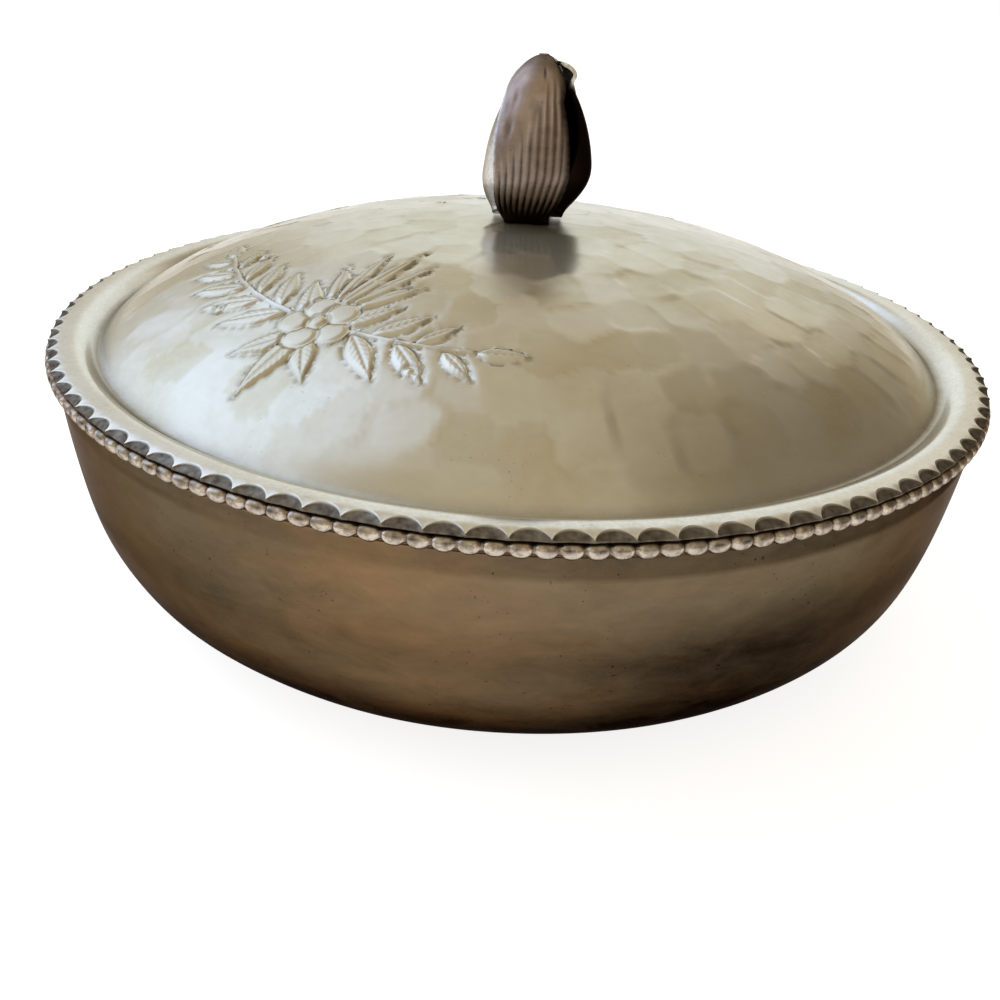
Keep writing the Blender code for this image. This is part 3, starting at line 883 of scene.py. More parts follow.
@dataclass(frozen=True)
class Leaf:
    """An almond leaf with a midrib and slanting veins, pressed up from the sheet.

    It is laid out in the flattened dome: its foot has an angle round the axis and a radius, and its
    heading is 0 along the ring, towards growing angles, and a quarter turn when it grows away from
    the knob.
    """

    angle: float
    radius: float
    heading: float
    length: float
    width: float
    bend: float = 0.0
    has_veins: bool = True
    rise: float = 0.62 * MM
    edge_blend: float = 1.1 * MM
    rib_depth: float = 0.20 * MM
    rib_width: float = 0.34 * MM
    rib_soil: float = 0.15
    vein_depth: float = 0.028 * MM
    vein_pitch: float = 1.7 * MM

    def press(self, angle: np.ndarray, radius: np.ndarray, relief: np.ndarray,
              dirt: np.ndarray) -> None:
        """Press the leaf into a relief.

        Args:
            angle: Angle of each point round the axis.
            radius: Radius of each point.
            relief: Height of each point above the sheet, which is changed.
            dirt: Dirt on each point, which is changed.
        """
        turn = turn_from(self.angle, angle)
        ring, out = turn * (self.radius + radius) / 2, radius - self.radius
        along = ring * math.cos(self.heading) + out * math.sin(self.heading)
        across = out * math.cos(self.heading) - ring * math.sin(self.heading)
        across = across - self.bend * (along / self.length) ** 2 * self.length
        share = np.clip(along / self.length, 0.0, 1.0)
        half = self.width / 2 * np.sin(math.pi * share ** 0.8) ** 1.05
        beyond = np.maximum(np.maximum(-along, along - self.length), 0.0)
        edge = np.where(beyond > 0, -np.hypot(beyond, across), half - np.abs(across))
        near = edge > -MOTIF_MARGIN
        edge, across, along = edge[near], across[near], along[near]
        soft = smooth_steps(edge / self.edge_blend + 0.12)
        top = self.rise * soft * (1 - 0.35 * (across / (self.width / 2)) ** 2)
        rib = bell(across / self.rib_width)
        top -= self.rib_depth * rib * soft
        if self.has_veins:
            wave = np.cos(FULL_TURN * (along - 1.1 * np.abs(across)) / self.vein_pitch)
            top -= self.vein_depth * (1 - wave) * soft
        chased = bell((edge + 0.30 * MM) / (0.36 * MM))
        inside = edge > 0
        relief[near] = np.where(inside, top, relief[near]) - CHASE_DEPTH * chased
        line = np.maximum(CHASE_SOIL * chased, self.rib_soil * rib * inside)
        dirt[near] = np.maximum(np.where(inside, 0.0, dirt[near]), line)


@dataclass(frozen=True)
class Boss:
    """A round raised spot, such as a berry or a petal of a rosette."""

    angle: float
    radius: float
    size: float
    rise: float

    def press(self, angle: np.ndarray, radius: np.ndarray, relief: np.ndarray,
              dirt: np.ndarray) -> None:
        """Press the boss into a relief.

        Args:
            angle: Angle of each point round the axis.
            radius: Radius of each point.
            relief: Height of each point above the sheet, which is changed.
            dirt: Dirt on each point, which is changed.
        """
        away = np.hypot(turn_from(self.angle, angle) * self.radius, radius - self.radius)
        near = away < self.size + MOTIF_MARGIN
        away = away[near]
        soft = smooth_steps((self.size - away) / (1.5 * MM))
        dome = self.rise * soft * (1 - 0.3 * (away / self.size) ** 2)
        chased = bell((away - self.size - 0.25 * MM) / (0.4 * MM))
        inside = away < self.size
        relief[near] = np.where(inside, np.maximum(dome, 0.1 * MM),
                                relief[near] - CHASE_DEPTH * chased)
        dirt[near] = np.maximum(np.where(inside, 0.0, dirt[near]), CHASE_SOIL * chased)


@dataclass(frozen=True)
class Stem:
    """A thin raised line along a ring, between two angles."""

    start: float
    end: float
    radius: float
    width: float
    rise: float = 0.5 * MM
    chase_depth: float = 0.2 * MM
    soil: float = 0.3

    def press(self, angle: np.ndarray, radius: np.ndarray, relief: np.ndarray,
              dirt: np.ndarray) -> None:
        """Press the stem into a relief.

        Args:
            angle: Angle of each point round the axis.
            radius: Radius of each point.
            relief: Height of each point above the sheet, which is changed.
            dirt: Dirt on each point, which is changed.
        """
        turn = angle % FULL_TURN
        beyond = np.maximum(np.maximum(self.start - turn, turn - self.end), 0.0) * self.radius
        away = np.hypot(beyond, radius - self.radius)
        near = away < self.width + MOTIF_MARGIN
        away = away[near]
        ridge = self.rise * np.clip(1 - (away / self.width) ** 2, 0.0, 1.0)
        chased = bell((away - self.width - 0.2 * MM) / (0.38 * MM))
        relief[near] = np.where(away < self.width, np.maximum(ridge, relief[near]),
                                relief[near] - self.chase_depth * chased)
        dirt[near] = np.maximum(dirt[near], self.soil * chased)


@dataclass
class Garland:
    """A laurel garland: leafy branches from a rosette, with berries and a fan of long leaves."""

    middle: float = math.radians(235)
    radius: float = 0.079
    reach: tuple[float, float] = (math.radians(44), math.radians(30))
    pair_step: float = 0.0108
    leaf_length: float = 0.0172
    leaf_width: float = 0.0062
    leaf_spread: float = math.radians(38)
    rosette_size: float = 0.0042
    berry_size: float = 0.0014
    stem_width: float = 0.0007
    motifs: list[Leaf | Boss | Stem] = field(default_factory=list)

    def __post_init__(self) -> None:
        """Lay out the motifs, from the lowest to the topmost."""
        long_reach, short_reach = self.reach
        self.motifs.append(Stem(self.middle - long_reach, self.middle + short_reach, self.radius,
                                self.stem_width))
        for way, reach in ((-1, long_reach), (1, short_reach)):
            self.add_branch(way, reach)
        self.add_fan()
        self.add_rosette()

    def add_branch(self, way: int, reach: float) -> None:
        """Add the paired leaves and berries of one branch.

        Args:
            way: The direction round the axis, 1 or -1.
            reach: The angle that the branch covers.
        """
        step = self.pair_step / self.radius
        count = int(reach / step)
        along = 0.0 if way > 0 else math.pi
        for number in range(count, 0, -1):
            angle = self.middle + way * (number - 0.35) * step
            size = 1.0 - 0.35 * (number / count) ** 2
            for side in (-1, 1):
                heading = along + way * side * self.leaf_spread
                shift = 0.3 * side * step * way
                self.motifs.append(Leaf(
                    angle + shift, self.radius + side * 0.8 * MM, heading,
                    self.leaf_length * size, self.leaf_width * size, 0.10 * side * way))
            if number % 2 == 0:
                side = 1 if number % 4 else -1
                self.motifs.append(Boss(angle + way * 0.9 * step,
                                        self.radius + side * 9.5 * MM * size,
                                        self.berry_size, 0.6 * MM))
        tip = self.middle + way * (reach - 0.2 * step)
        self.motifs.append(Leaf(tip, self.radius, along, 0.7 * self.leaf_length,
                                0.8 * self.leaf_width))

    def add_fan(self) -> None:
        """Add long leaves from the rosette towards the knob, and short ones away from it."""
        inward, outward = -math.pi / 2, math.pi / 2
        for turn, length in ((-0.62, 24), (0.62, 24), (-0.3, 30), (0.3, 30), (0.0, 34)):
            self.motifs.append(Leaf(self.middle, self.radius - 4 * MM, inward + turn, length * MM,
                                    5.4 * MM, 0.12 * turn, has_veins=False))
        for turn, length in ((-0.7, 17), (0.7, 17), (0.0, 21)):
            self.motifs.append(Leaf(self.middle, self.radius + 4 * MM, outward + turn, length * MM,
                                    6.0 * MM))

    def add_rosette(self) -> None:
        """Add the five-petalled rosette in the middle."""
        away = 1.35 * self.rosette_size
        for petal in range(5):
            turn = FULL_TURN * petal / 5 + 0.3
            self.motifs.append(Boss(self.middle + away * math.cos(turn) / self.radius,
                                    self.radius + away * math.sin(turn),
                                    self.rosette_size, 0.55 * MM))
        self.motifs.append(Boss(self.middle, self.radius, 0.62 * self.rosette_size, 0.8 * MM))

    def relief(self, points: np.ndarray) -> tuple[np.ndarray, np.ndarray]:
        """The relief of the whole garland.

        Args:
            points: Points on the dome, in three columns.

        Returns:
            Each point's height above the sheet, and its dirt.
        """
        angle = np.arctan2(points[:, 1], points[:, 0])
        radius = np.hypot(points[:, 0], points[:, 1])
        relief, dirt = np.zeros(len(points)), np.zeros(len(points))
        for motif in self.motifs:
            motif.press(angle, radius, relief, dirt)
        return relief, dirt


# Lid


class LidStation(IntEnum):
    """Corners of the lid's profile, from the screw hole over the top and back underneath."""

    HOLE_TOP = 0
    SEAT = 1
    FOOT = 2
    LIP = 3
    SHOULDER = 4
    EDGE_TOP = 5
    EDGE_BOTTOM = 6
    UNDER_EDGE = 7
    UNDER_LIP = 8
    UNDER_FOOT = 9
    UNDER_SEAT = 10
    HOLE_BOTTOM = 11
    HOLE_END = 12


@dataclass
class Lid:
    """The domed lid, with its garland, channel, rounded lip, flange and scalloped edge."""

    rest: float = 0.0685
    edge_radius: float = 0.1262
    wall: float = 0.0014
    flange_width: float = 0.0074
    channel_drop: float = 0.0047
    channel_step: float = 0.0042
    dome_rise: float = 0.0318
    dome_roundness: float = 1.90
    dome_shoulder: float = 0.70
    seat_radius: float = 0.0095
    hole_radius: float = 0.0027
    scallop_count: int = 104
    scallop_depth: float = 0.0029
    scallop_foot: float = 0.0003
    scallop_drop: float = 0.0011
    cusp_drop: float = 0.0007
    scallop_fullness: float = 0.75
    scallop_end: float = 0.8
    scallop_darkening: tuple[float, float] = (0.95, 0.60)
    edge_darkening: float = 0.9
    channel_soil: float = 0.35
    flange_shine: float = 0.5
    columns: int = 130
    dome_rows: int = 84
    inner_rows: int = 34
    fine_radii: tuple[float, float] = (0.030, 0.060)
    sharp_angle: float = math.radians(42)
    facet_ring: float = 0.0120
    facet_pitch: float = 0.0125
    facet_curve: float = 2.2
    facet_tilt: float = 0.022
    facet_warp: float = 0.0009
    facet_chunk: int = 4000
    unevenness: float = 0.00012
    garland: Garland = field(default_factory=Garland)

    @property
    def lip_radius(self) -> float:
        """Radius where the flange starts."""
        return self.edge_radius - self.flange_width

    @property
    def foot_radius(self) -> float:
        """Radius of the dome's foot, at the bottom of the channel."""
        return self.lip_radius - self.channel_step

    def dome_height(self, radius: float) -> float:
        """Height of the dome's outer face.

        Args:
            radius: A radius inside the channel.

        Returns:
            The height.
        """
        share = min(radius / self.foot_radius, 1.0)
        crown = (1 - share ** self.dome_roundness) ** self.dome_shoulder
        return self.rest + self.wall - self.channel_drop + self.dome_rise * crown

    def stations(self) -> list[Station]:
        """The corners of the profile.

        Returns:
            One station per corner, from the hole out to the edge and back below.
        """
        top = self.rest + self.wall
        seat = self.dome_height(self.seat_radius)
        foot = top - self.channel_drop
        shoulder = self.edge_radius - self.scallop_depth - self.scallop_foot
        return [
            Station(self.hole_radius, seat, 4),
            Station(self.seat_radius, seat, self.dome_rows),
            Station(self.foot_radius, foot, 7),
            Station(self.lip_radius, top, 5),
            Station(shoulder, top, 3),
            Station(self.edge_radius, top, 5),
            Station(self.edge_radius, self.rest, 2),
            Station(shoulder, self.rest, 3),
            Station(self.lip_radius + self.wall / 2, self.rest, 4),
            Station(self.foot_radius - self.wall / 2, foot - self.wall, self.inner_rows),
            Station(self.seat_radius, seat - self.wall, 2),
            Station(self.hole_radius, seat - self.wall, 2),
            Station(self.hole_radius, seat),
        ]

    def dome_point(self, share: float) -> tuple[float, float]:
        """A point of the dome's outer profile, 0 at the knob's seat and 1 at the dome's foot."""
        radius = self.seat_radius + (self.foot_radius - self.seat_radius) * share
        return radius, self.dome_height(radius)

    def under_point(self, share: float) -> tuple[float, float]:
        """A point of the dome's inner profile, one sheet thickness inside the outer face.

        Args:
            share: Share of the way from the dome's foot to the knob's seat.

        Returns:
            Its radius and height.
        """
        radius = self.foot_radius + (self.seat_radius - self.foot_radius) * share
        step = 0.5 * MM
        rise = (self.dome_height(max(radius - step, 0))
                - self.dome_height(min(radius + step, self.foot_radius)))
        slope = math.atan2(rise, 2 * step) * smooth_step((1 - share) * 8)
        return (radius - self.wall * math.sin(slope),
                self.dome_height(radius) - self.wall * math.cos(slope))

    def place_edge(self, turned: Turned, vert: bmesh.types.BMVert, angle: float) -> Place:
        """The final place of a point: scooped scallops, and the flange draped down to their cusps.

        Args:
            turned: The shell.
            vert: The point.
            angle: Its angle round the axis.

        Returns:
            Its radius, angle and height.
        """
        run, radius, height = vert[turned.run], vert[turned.radius], vert[turned.height]
        if not LidStation.SHOULDER < run < LidStation.UNDER_EDGE:
            return radius, angle, height
        across = 2 * share_along_pitch(angle, self.scallop_count) - 1
        cut = (1 - across * across) ** self.scallop_fullness
        top = self.rest + self.wall
        rim_radius = self.edge_radius - self.scallop_depth * cut
        rim_height = top - self.cusp_drop * (1 - cut) ** 1.5
        low_radius = self.edge_radius - self.scallop_foot * cut
        low_height = (top - self.cusp_drop
                      - (self.scallop_drop - self.cusp_drop) * smooth_step(cut * 4))
        if run <= LidStation.EDGE_TOP:
            blend = run - LidStation.SHOULDER
            shoulder = self.edge_radius - self.scallop_depth - self.scallop_foot
            vert[turned.shine] = 0.75 * smooth_step(blend * 4 - 3)
            return (shoulder + (rim_radius - shoulder) * blend, angle,
                    height + (rim_height - height) * blend ** 1.5)
        if run <= LidStation.EDGE_BOTTOM:
            blend = run - LidStation.EDGE_TOP
            if blend > self.scallop_end:
                fall = (blend - self.scallop_end) / (1 - self.scallop_end)
                # Painted shade: the outer edge is painted dark, for the shaded gap over the bowl's
                # rim
                vert[turned.grime] = self.edge_darkening
                return low_radius, angle, low_height + (self.rest - low_height) * fall
            # The scallops are painted dark, as dirt and as a painted dark reflection, darkest at
            # the front
            share = blend / self.scallop_end
            front, back = self.scallop_darkening
            thick = front + (back - front) * smooth_step((math.sin(angle) + 0.2) / 0.6)
            scoop = 0.02 * MM * cut * math.sin(math.pi * share)
            vert[turned.shine] = smooth_step(1 - share * 5)
            vert[turned.grime] = (thick * smooth_step(share * 8)
                                  * (0.72 + 0.12 * smooth_step(cut * 5)))
            return (rim_radius + (low_radius - rim_radius) * share, angle,
                    rim_height + (low_height - rim_height) * share - scoop)
        return low_radius + (radius - self.edge_radius), angle, self.rest

    def facets(self, points: np.ndarray) -> tuple[np.ndarray, np.ndarray]:
        """The hammer marks: shallow tilted hollows side by side in rings, that meet in soft ridges.

        Args:
            points: Points on the dome, in three columns.

        Returns:
            How far each point lies above the true dome, and the tone of its facet from -1 to 1.
        """
        draw = random.Random(11)
        marks = []
        ring = self.seat_radius + 0.4 * self.facet_ring
        while ring < self.foot_radius:
            count = max(round(FULL_TURN * ring / self.facet_pitch), 5)
            start = draw.uniform(0, FULL_TURN)
            for number in range(count):
                angle = start + FULL_TURN * (number + draw.uniform(-0.2, 0.2)) / count
                away = ring + self.facet_ring * draw.uniform(-0.13, 0.13)
                marks.append((away * math.cos(angle), away * math.sin(angle), draw.uniform(-1, 1),
                              self.facet_tilt * draw.uniform(-1, 1),
                              self.facet_tilt * draw.uniform(-1, 1)))
            ring += self.facet_ring * draw.uniform(0.92, 1.08)
        marks = np.array(marks)
        x, y = points[:, 0], points[:, 1]
        # A hammer leaves no straight ridges, so the plan of the marks is warped
        warp_x = x + self.facet_warp * np.sin(y / (5.1 * MM) + 1.7 * np.sin(x / (7.7 * MM)))
        warp_y = y + self.facet_warp * np.sin(x / (4.7 * MM) + 1.3 * np.sin(y / (8.9 * MM)))
        lift, tone = np.empty(len(points)), np.empty(len(points))
        for start in range(0, len(points), self.facet_chunk):
            part = slice(start, start + self.facet_chunk)
            out_x, out_y = warp_x[part, None] - marks[:, 0], warp_y[part, None] - marks[:, 1]
            away = out_x ** 2 + out_y ** 2
            nearest = away.argmin(axis=1)
            rows = np.arange(len(nearest))
            tone[part] = marks[nearest, 2]
            hollow = self.facet_curve * away + marks[:, 3] * out_x + marks[:, 4] * out_y
            lift[part] = hollow[rows, nearest]
        swell = (np.sin(x / (13 * MM) + 0.8) * np.sin(y / (17 * MM) + 2.1)
                 + 0.6 * np.sin((x + 1.6 * y) / (21 * MM)))
        return lift + self.unevenness * swell, tone

    def emboss(self, turned: Turned) -> None:
        """Hammer the dome and press the garland up from it.

        Args:
            turned: The shell, whose points are at their final radius.
        """
        points = turned.points()
        radius = np.hypot(points[:, 0], points[:, 1])
        runs = np.array([vert[turned.run] for vert in turned.bm.verts])
        on_dome = (runs > LidStation.HOLE_TOP) & (runs < LidStation.FOOT + 0.2)
        ease = (smooth_steps((radius - self.seat_radius) / (5 * MM))
                * smooth_steps((self.foot_radius - 1.5 * MM - radius) / (9 * MM)))
        relief, dirt = self.garland.relief(points)
        facets, tone = self.facets(points)
        calm = 1 - 0.75 * smooth_steps(np.abs(relief) / (0.12 * MM))
        lift = on_dome * ease * (facets * calm + relief)
        channel = self.channel_soil * bell((radius - self.foot_radius - 0.2 * MM) / (1.6 * MM))
        rows = zip(turned.bm.verts, lift, dirt * on_dome * ease, on_dome, channel,
                   tone * on_dome * ease * calm)
        for vert, rise, soil, near, ring, shade in rows:
            vert.co.z += rise
            vert[turned.tone] = shade
            if near or LidStation.FOOT <= vert[turned.run] <= LidStation.LIP:
                vert[turned.grime] = max(soil, ring)
            if LidStation.FOOT + 0.4 < vert[turned.run] <= LidStation.EDGE_TOP:
                vert[turned.shine] = max(vert[turned.shine], self.flange_shine)

    def build(self, material: bpy.types.Material) -> None:
        """Turn the lid, cut its scallops, hammer and emboss its dome, and dress it.

        Args:
            material: The lid's finish.
        """
        turned = Turned(self.stations())
        turned.bend(LidStation.SEAT, LidStation.FOOT, self.dome_point)
        turned.bend(LidStation.UNDER_FOOT, LidStation.UNDER_SEAT, self.under_point)
        turned.soften(LidStation.FOOT - 0.12, LidStation.LIP + 0.55, 5)
        turned.soften(LidStation.UNDER_LIP - 0.5, LidStation.UNDER_FOOT + 0.1, 3)
        turned.turn(self.columns)
        fine, finer = self.fine_radii
        turned.refine(1, lambda _, radius: radius > fine)
        turned.refine(1, lambda run, radius: radius > finer and run < LidStation.UNDER_LIP)
        turned.refine(2, lambda run, _: LidStation.SHOULDER - 0.2 < run < LidStation.UNDER_EDGE)
        turned.shape(lambda vert, angle: self.place_edge(turned, vert, angle))
        for _ in range(2):
            self.refine_garland(turned)
        turned.shape(lambda vert, angle: self.place_edge(turned, vert, angle))
        self.emboss(turned)
        for vert in turned.bm.verts:
            vert[turned.within] = smooth_step(vert[turned.run] - LidStation.EDGE_BOTTOM)
        piece = Piece("lid_shell", Body.LID, Slot.LID, ("lid",), self.sharp_angle)
        mesh = piece.place(turned.close(), material).data
        # Each scallop was cut by a punch, which leaves a crisp arc along its top
        runs = mesh.attributes["run"].data
        for edge in mesh.edges:
            if all(abs(runs[end].value - LidStation.EDGE_TOP) < SAME_RUN for end in edge.vertices):
                edge.use_edge_sharp = True

    def refine_garland(self, turned: Turned) -> None:
        """Halve the mesh where the garland stands.

        Args:
            turned: The shell, whose points are at their final radius.
        """
        relief, dirt = self.garland.relief(turned.points())
        touched = (np.abs(relief) > 0.02 * MM) | (dirt > 0.05)
        turned.bm.verts.index_update()
        edges = [edge for edge in turned.bm.edges
                 if all(touched[vert.index] and vert[turned.run] < LidStation.FOOT
                        for vert in edge.verts)]
        bmesh.ops.subdivide_edges(turned.bm, edges=edges, cuts=1, use_grid_fill=True)


# Knob


@dataclass
class PetalStrip:
    """A strip of sheet that crosses the bud's foot and rises on both sides as a petal."""

    name: str
    node: str
    inset: float
    foot_lift: float
    left_wrap: tuple[float, ...]
    right_wrap: tuple[float, ...]
    flare: float
    is_ribbed: bool
    is_crosswise: bool
    seat: float = 0.0971
    bud_height: float = 0.0408
    bud_radius: float = 0.0164
    belly_height: float = 0.0119
    foot_radius: float = 0.0100
    tip_radius: float = 0.0013
    lean: float = 0.0018
    lean_height: float = 0.0150
    closing: float = 1.70
    closing_end: float = 0.593
    sheet: float = 0.0010
    foot_width: float = 0.0120
    hole_radius: float = 0.0027
    foot_share: float = 1 / 6
    narrowing: tuple[float, float] = (0.30, 0.32)
    tip_start: float = 0.86
    tip_width: float = 0.92
    open_tip_width: float = 0.45
    flare_start: float = 0.82
    open_lift: float = 0.0006
    twist: float = 0.6
    rib_count: int = 12
    rib_depth: float = 0.00032
    rib_fade: tuple[float, float] = (0.52, 0.74)
    rib_slant: float = 0.34
    rib_soil: float = 0.45
    dent_count: int = 22
    dent_depth: float = 0.00025
    dent_soil: float = 0.22
    dent_size: tuple[float, float] = (0.07, 0.022)
    big_dent: Place = (0.12, -0.83, 2.2)
    low_height: float = 0.012
    low_darkening: float = 0.72
    flank_soil: float = 0.28
    tip_soil: float = 0.4
    edge_shine: float = 0.8
    worn_edge: float = 0.00028
    worn_angle: float = math.radians(55)
    sharp_angle: float = math.radians(60)
    columns: int = 108
    rows: int = 76

    def bud_outline(self, height: float, inset: float) -> float:
        """Radius of the bud at a height above its seat, widest at the belly.

        Args:
            height: The height.
            inset: How far inside the bud's outline the petal lies.

        Returns:
            The radius.
        """
        belly, top = self.bud_radius - inset, self.bud_height - inset
        if height < self.belly_height:
            below = (self.belly_height - height) / self.belly_height
            return belly - (self.bud_radius - self.foot_radius) * below * below
        above = min((height - self.belly_height) / (top - self.belly_height), 1.0)
        return belly * (1 - above ** self.closing) ** self.closing_end

    def rise(self, share: float) -> float:
        """Share of the bud's height that a share of the petal's length has reached."""
        climb = max(share - self.foot_share, 0.0) / (1 - self.foot_share)
        return (1 - math.cos(climb * math.pi)) / 2

    def path(self, share: float, is_open: bool) -> tuple[float, float]:
        """Distance from the middle, and height, of the outer face.

        Args:
            share: Share of the petal's length, from the foot to the tip.
            is_open: Whether the tip flicks open, which also lifts it a little.

        Returns:
            The radius and the height.
        """
        if share <= self.foot_share:
            return (self.foot_radius - self.inset) * share / self.foot_share, self.foot_lift
        rise = self.rise(share)
        inset = self.inset - (self.open_lift * smooth_step(rise * 3) if is_open else 0.0)
        height = self.foot_lift + (self.bud_height - inset - self.foot_lift) * rise
        radius = self.bud_outline(height, inset)
        if is_open:
            radius += self.flare * smooth_step((rise - self.flare_start) / (1 - self.flare_start))
        return max(radius, self.tip_radius), height

    def wrap(self, wraps: Sequence[float], rise: float) -> float:
        """How far round the bud a petal reaches at a height.

        Args:
            wraps: Quarter turns at even steps, from its foot to its tip.
            rise: Share of the bud's height.

        Returns:
            The reach in quarter turns.
        """
        place = min(max(rise, 0.0), 1.0) * (len(wraps) - 1)
        index = min(int(place), len(wraps) - 2)
        return wraps[index] + (wraps[index + 1] - wraps[index]) * (place - index)

    def half_width(self, share: float, radius: float, is_open: bool,
                   wraps: Sequence[float]) -> float:
        """Half the strip's width along its curved face: narrow foot, wide petal, round tip.

        Args:
            share: Share of the petal's length.
            radius: The bud's radius there.
            is_open: Whether the tip flicks open.
            wraps: Quarter turns that the petal reaches round the bud, from its foot to its tip.

        Returns:
            Half the width.
        """
        rise = self.rise(share)
        wrap = self.wrap(wraps, rise) * math.pi / 2
        if is_open:
            start, amount = self.narrowing
            wrap *= 1 - amount * smooth_step((rise - start) / (self.flare_start - start))
        foot = self.foot_width / 2
        width = foot + (wrap * radius - foot) * smooth_step(rise / 0.07)
        end = max((rise - self.tip_start) / (1 - self.tip_start), 0.0)
        least = self.open_tip_width if is_open else self.tip_width
        return width * max(math.sqrt(1 - min(end, 1.0) ** 2), least)

    def point(self, across: float, along: float) -> Vector:
        """Place of a point on the outer face of a strip that runs along Y.

        Args:
            across: Share of half the width, -1 to 1.
            along: Share of the length, negative on the first petal.

        Returns:
            The place above the bud's seat.
        """
        share = abs(along)
        is_open = self.flare > 0 and along > 0
        radius, height = self.path(share, is_open)
        wraps = self.right_wrap if along < 0 < across else self.left_wrap
        half_width = self.half_width(share, radius, is_open, wraps)
        dish = smooth_step((height - self.foot_lift) / (self.bud_height * 0.07))
        turn = across * half_width / max(radius, self.tip_radius)
        x = (1 - dish) * across * half_width + dish * radius * math.sin(turn)
        y = radius * (1 - dish + dish * math.cos(turn))
        if is_open:
            opening = smooth_step((self.rise(share) - self.flare_start) / 0.12)
            y += x * math.sin(self.twist * opening)
        return Vector((x, y if along > 0 else -y, height))

    def groove(self, across: float, along: float) -> float:
        """Share of the full depth of the pressed grooves, which fade out towards the petal's tip.

        Args:
            across: Share of half the width, -1 to 1.
            along: Share of the length, negative on the first petal.

        Returns:
            The share of the depth.
        """
        rise = self.rise(abs(along))
        if along < 0 < across:
            across *= self.wrap(self.right_wrap, rise) / self.wrap(self.left_wrap, rise)
        wave = (1 + math.cos(across * self.rib_count * math.pi)) / 2
        start, end = self.rib_fade
        # The ribs in the middle run up nearly to the tip, those at the left stop lowest
        reach = end + self.rib_slant * across + 0.14 * bell((across - 0.1) / 0.25)
        fade = smooth_step((reach - rise) / (end - start))
        return wave * smooth_step(rise / 0.08) * fade

    def build(self, material: bpy.types.Material, inner: bpy.types.Material) -> None:
        """Form a flat grid into two petals, press its ribs and give it the sheet's thickness.

        Args:
            material: The finish of the outer faces.
            inner: The finish of the inner faces.
        """
        bm = bmesh.new()
        grime, shine = bm.verts.layers.float.new("grime"), bm.verts.layers.float.new("shine")
        bmesh.ops.create_grid(bm, x_segments=self.columns, y_segments=2 * self.rows, size=1)
        bmesh.ops.reverse_faces(bm, faces=bm.faces[:])
        draw = random.Random(5)
        dents = [(draw.uniform(-0.8, 0.0), draw.choice((-1, 1)) * draw.uniform(0.58, 0.74),
                  draw.uniform(0.4, 1.0)) for _ in range(self.dent_count)]
        dents.append(self.big_dent)
        wide, long = self.dent_size
        for vert in bm.verts:
            across, along = vert.co.x, vert.co.y
            place = self.point(across, along)
            inward = -Vector((place.x, place.y, 0))
            if self.is_ribbed and inward.length > 0:
                groove = self.groove(across, along)
                dent = sum(size * math.exp(-((across - u) / wide) ** 2 - ((along - v) / long) ** 2)
                           for u, v, size in dents)
                depth = self.rib_depth * groove + self.dent_depth * min(dent, 1.2)
                place += inward.normalized() * depth
                rise = self.rise(abs(along))
                vert[grime] = (self.rib_soil * groove ** 2 + self.dent_soil * min(dent, 2.8)
                               + self.flank_soil * smooth_step((0.85 - rise) / 0.45)
                               + self.tip_soil * smooth_step((rise - self.tip_start) / 0.12))
            # Each strip is darker towards its foot on the lid
            low = 1 - smooth_step((place.z - self.foot_lift) / self.low_height)
            vert[grime] = min(vert[grime] + self.low_darkening * low, 1.0)
            vert[shine] = self.edge_shine * smooth_step((abs(across) - 0.92) / 0.08)
            if self.is_ribbed and along < 0 < across:
                # The front petal is painted black towards its right edge, as painted shade where it
                # turns away from the light
                side = smooth_step((across - 0.55) / 0.45)
                vert[grime] = max(vert[grime], 0.9 * side)
                vert[shine] *= 1 - side
            if self.is_crosswise and along < 0:
                # This petal is made bright, less so near its foot, and its dirt is thinned
                vert[shine] = 1.15 - 0.4 * low
                vert[grime] *= 0.4
            if self.flare > 0 and along > 0:
                # The open petal is painted black below its bright tip, as painted shade, most of
                # all on its front half
                tip = smooth_step((self.rise(along) - self.flare_start) / 0.08)
                vert[grime] = (1.0 - 0.5 * smooth_step(-across * 1.5)) * (1 - tip)
                vert[shine] = 0.9 * tip
            if self.is_crosswise:
                place = Vector((place.y, -place.x, place.z))
            place.x += self.lean * smooth_step(place.z / self.lean_height)
            place.z += self.seat
            vert.co = place
        self.open_hole(bm)
        piece = Piece(self.name, Body.LID, Slot.KNOB, (self.node,), self.sharp_angle)
        self.thicken(piece.place(bm, material), inner)

    def thicken(self, thing: bpy.types.Object, inner: bpy.types.Material) -> None:
        """Give a formed strip the sheet's thickness and worn edges.

        Args:
            thing: The strip.
            inner: The finish of the inner faces.
        """
        thickness = thing.modifiers.new("sheet", "SOLIDIFY")
        thickness.thickness = self.sheet
        thickness.offset = -1
        thing.data.materials.append(inner)
        thickness.material_offset = 1
        rounding = thing.modifiers.new("worn_edge", "BEVEL")
        rounding.width = self.worn_edge
        rounding.segments = 2
        rounding.limit_method = "ANGLE"
        rounding.angle_limit = self.worn_angle

    def open_hole(self, bm: bmesh.types.BMesh) -> None:
        """Open the screw's hole in the middle of the strip's foot.

        Args:
            bm: The strip's mesh.
        """
        top = self.seat + self.foot_lift + self.sheet
        centres = {face: face.calc_center_median() for face in bm.faces}
        middle = [face for face, centre in centres.items()
                  if centre.xy.length < self.hole_radius and centre.z < top]
        bmesh.ops.delete(bm, geom=middle, context="FACES")
        for vert in bm.verts:
            is_near = vert.co.xy.length < 1.4 * self.hole_radius and vert.co.z < top
            if vert.is_boundary and is_near:
                vert.co.xy = vert.co.xy.normalized() * self.hole_radius


# Fasteners


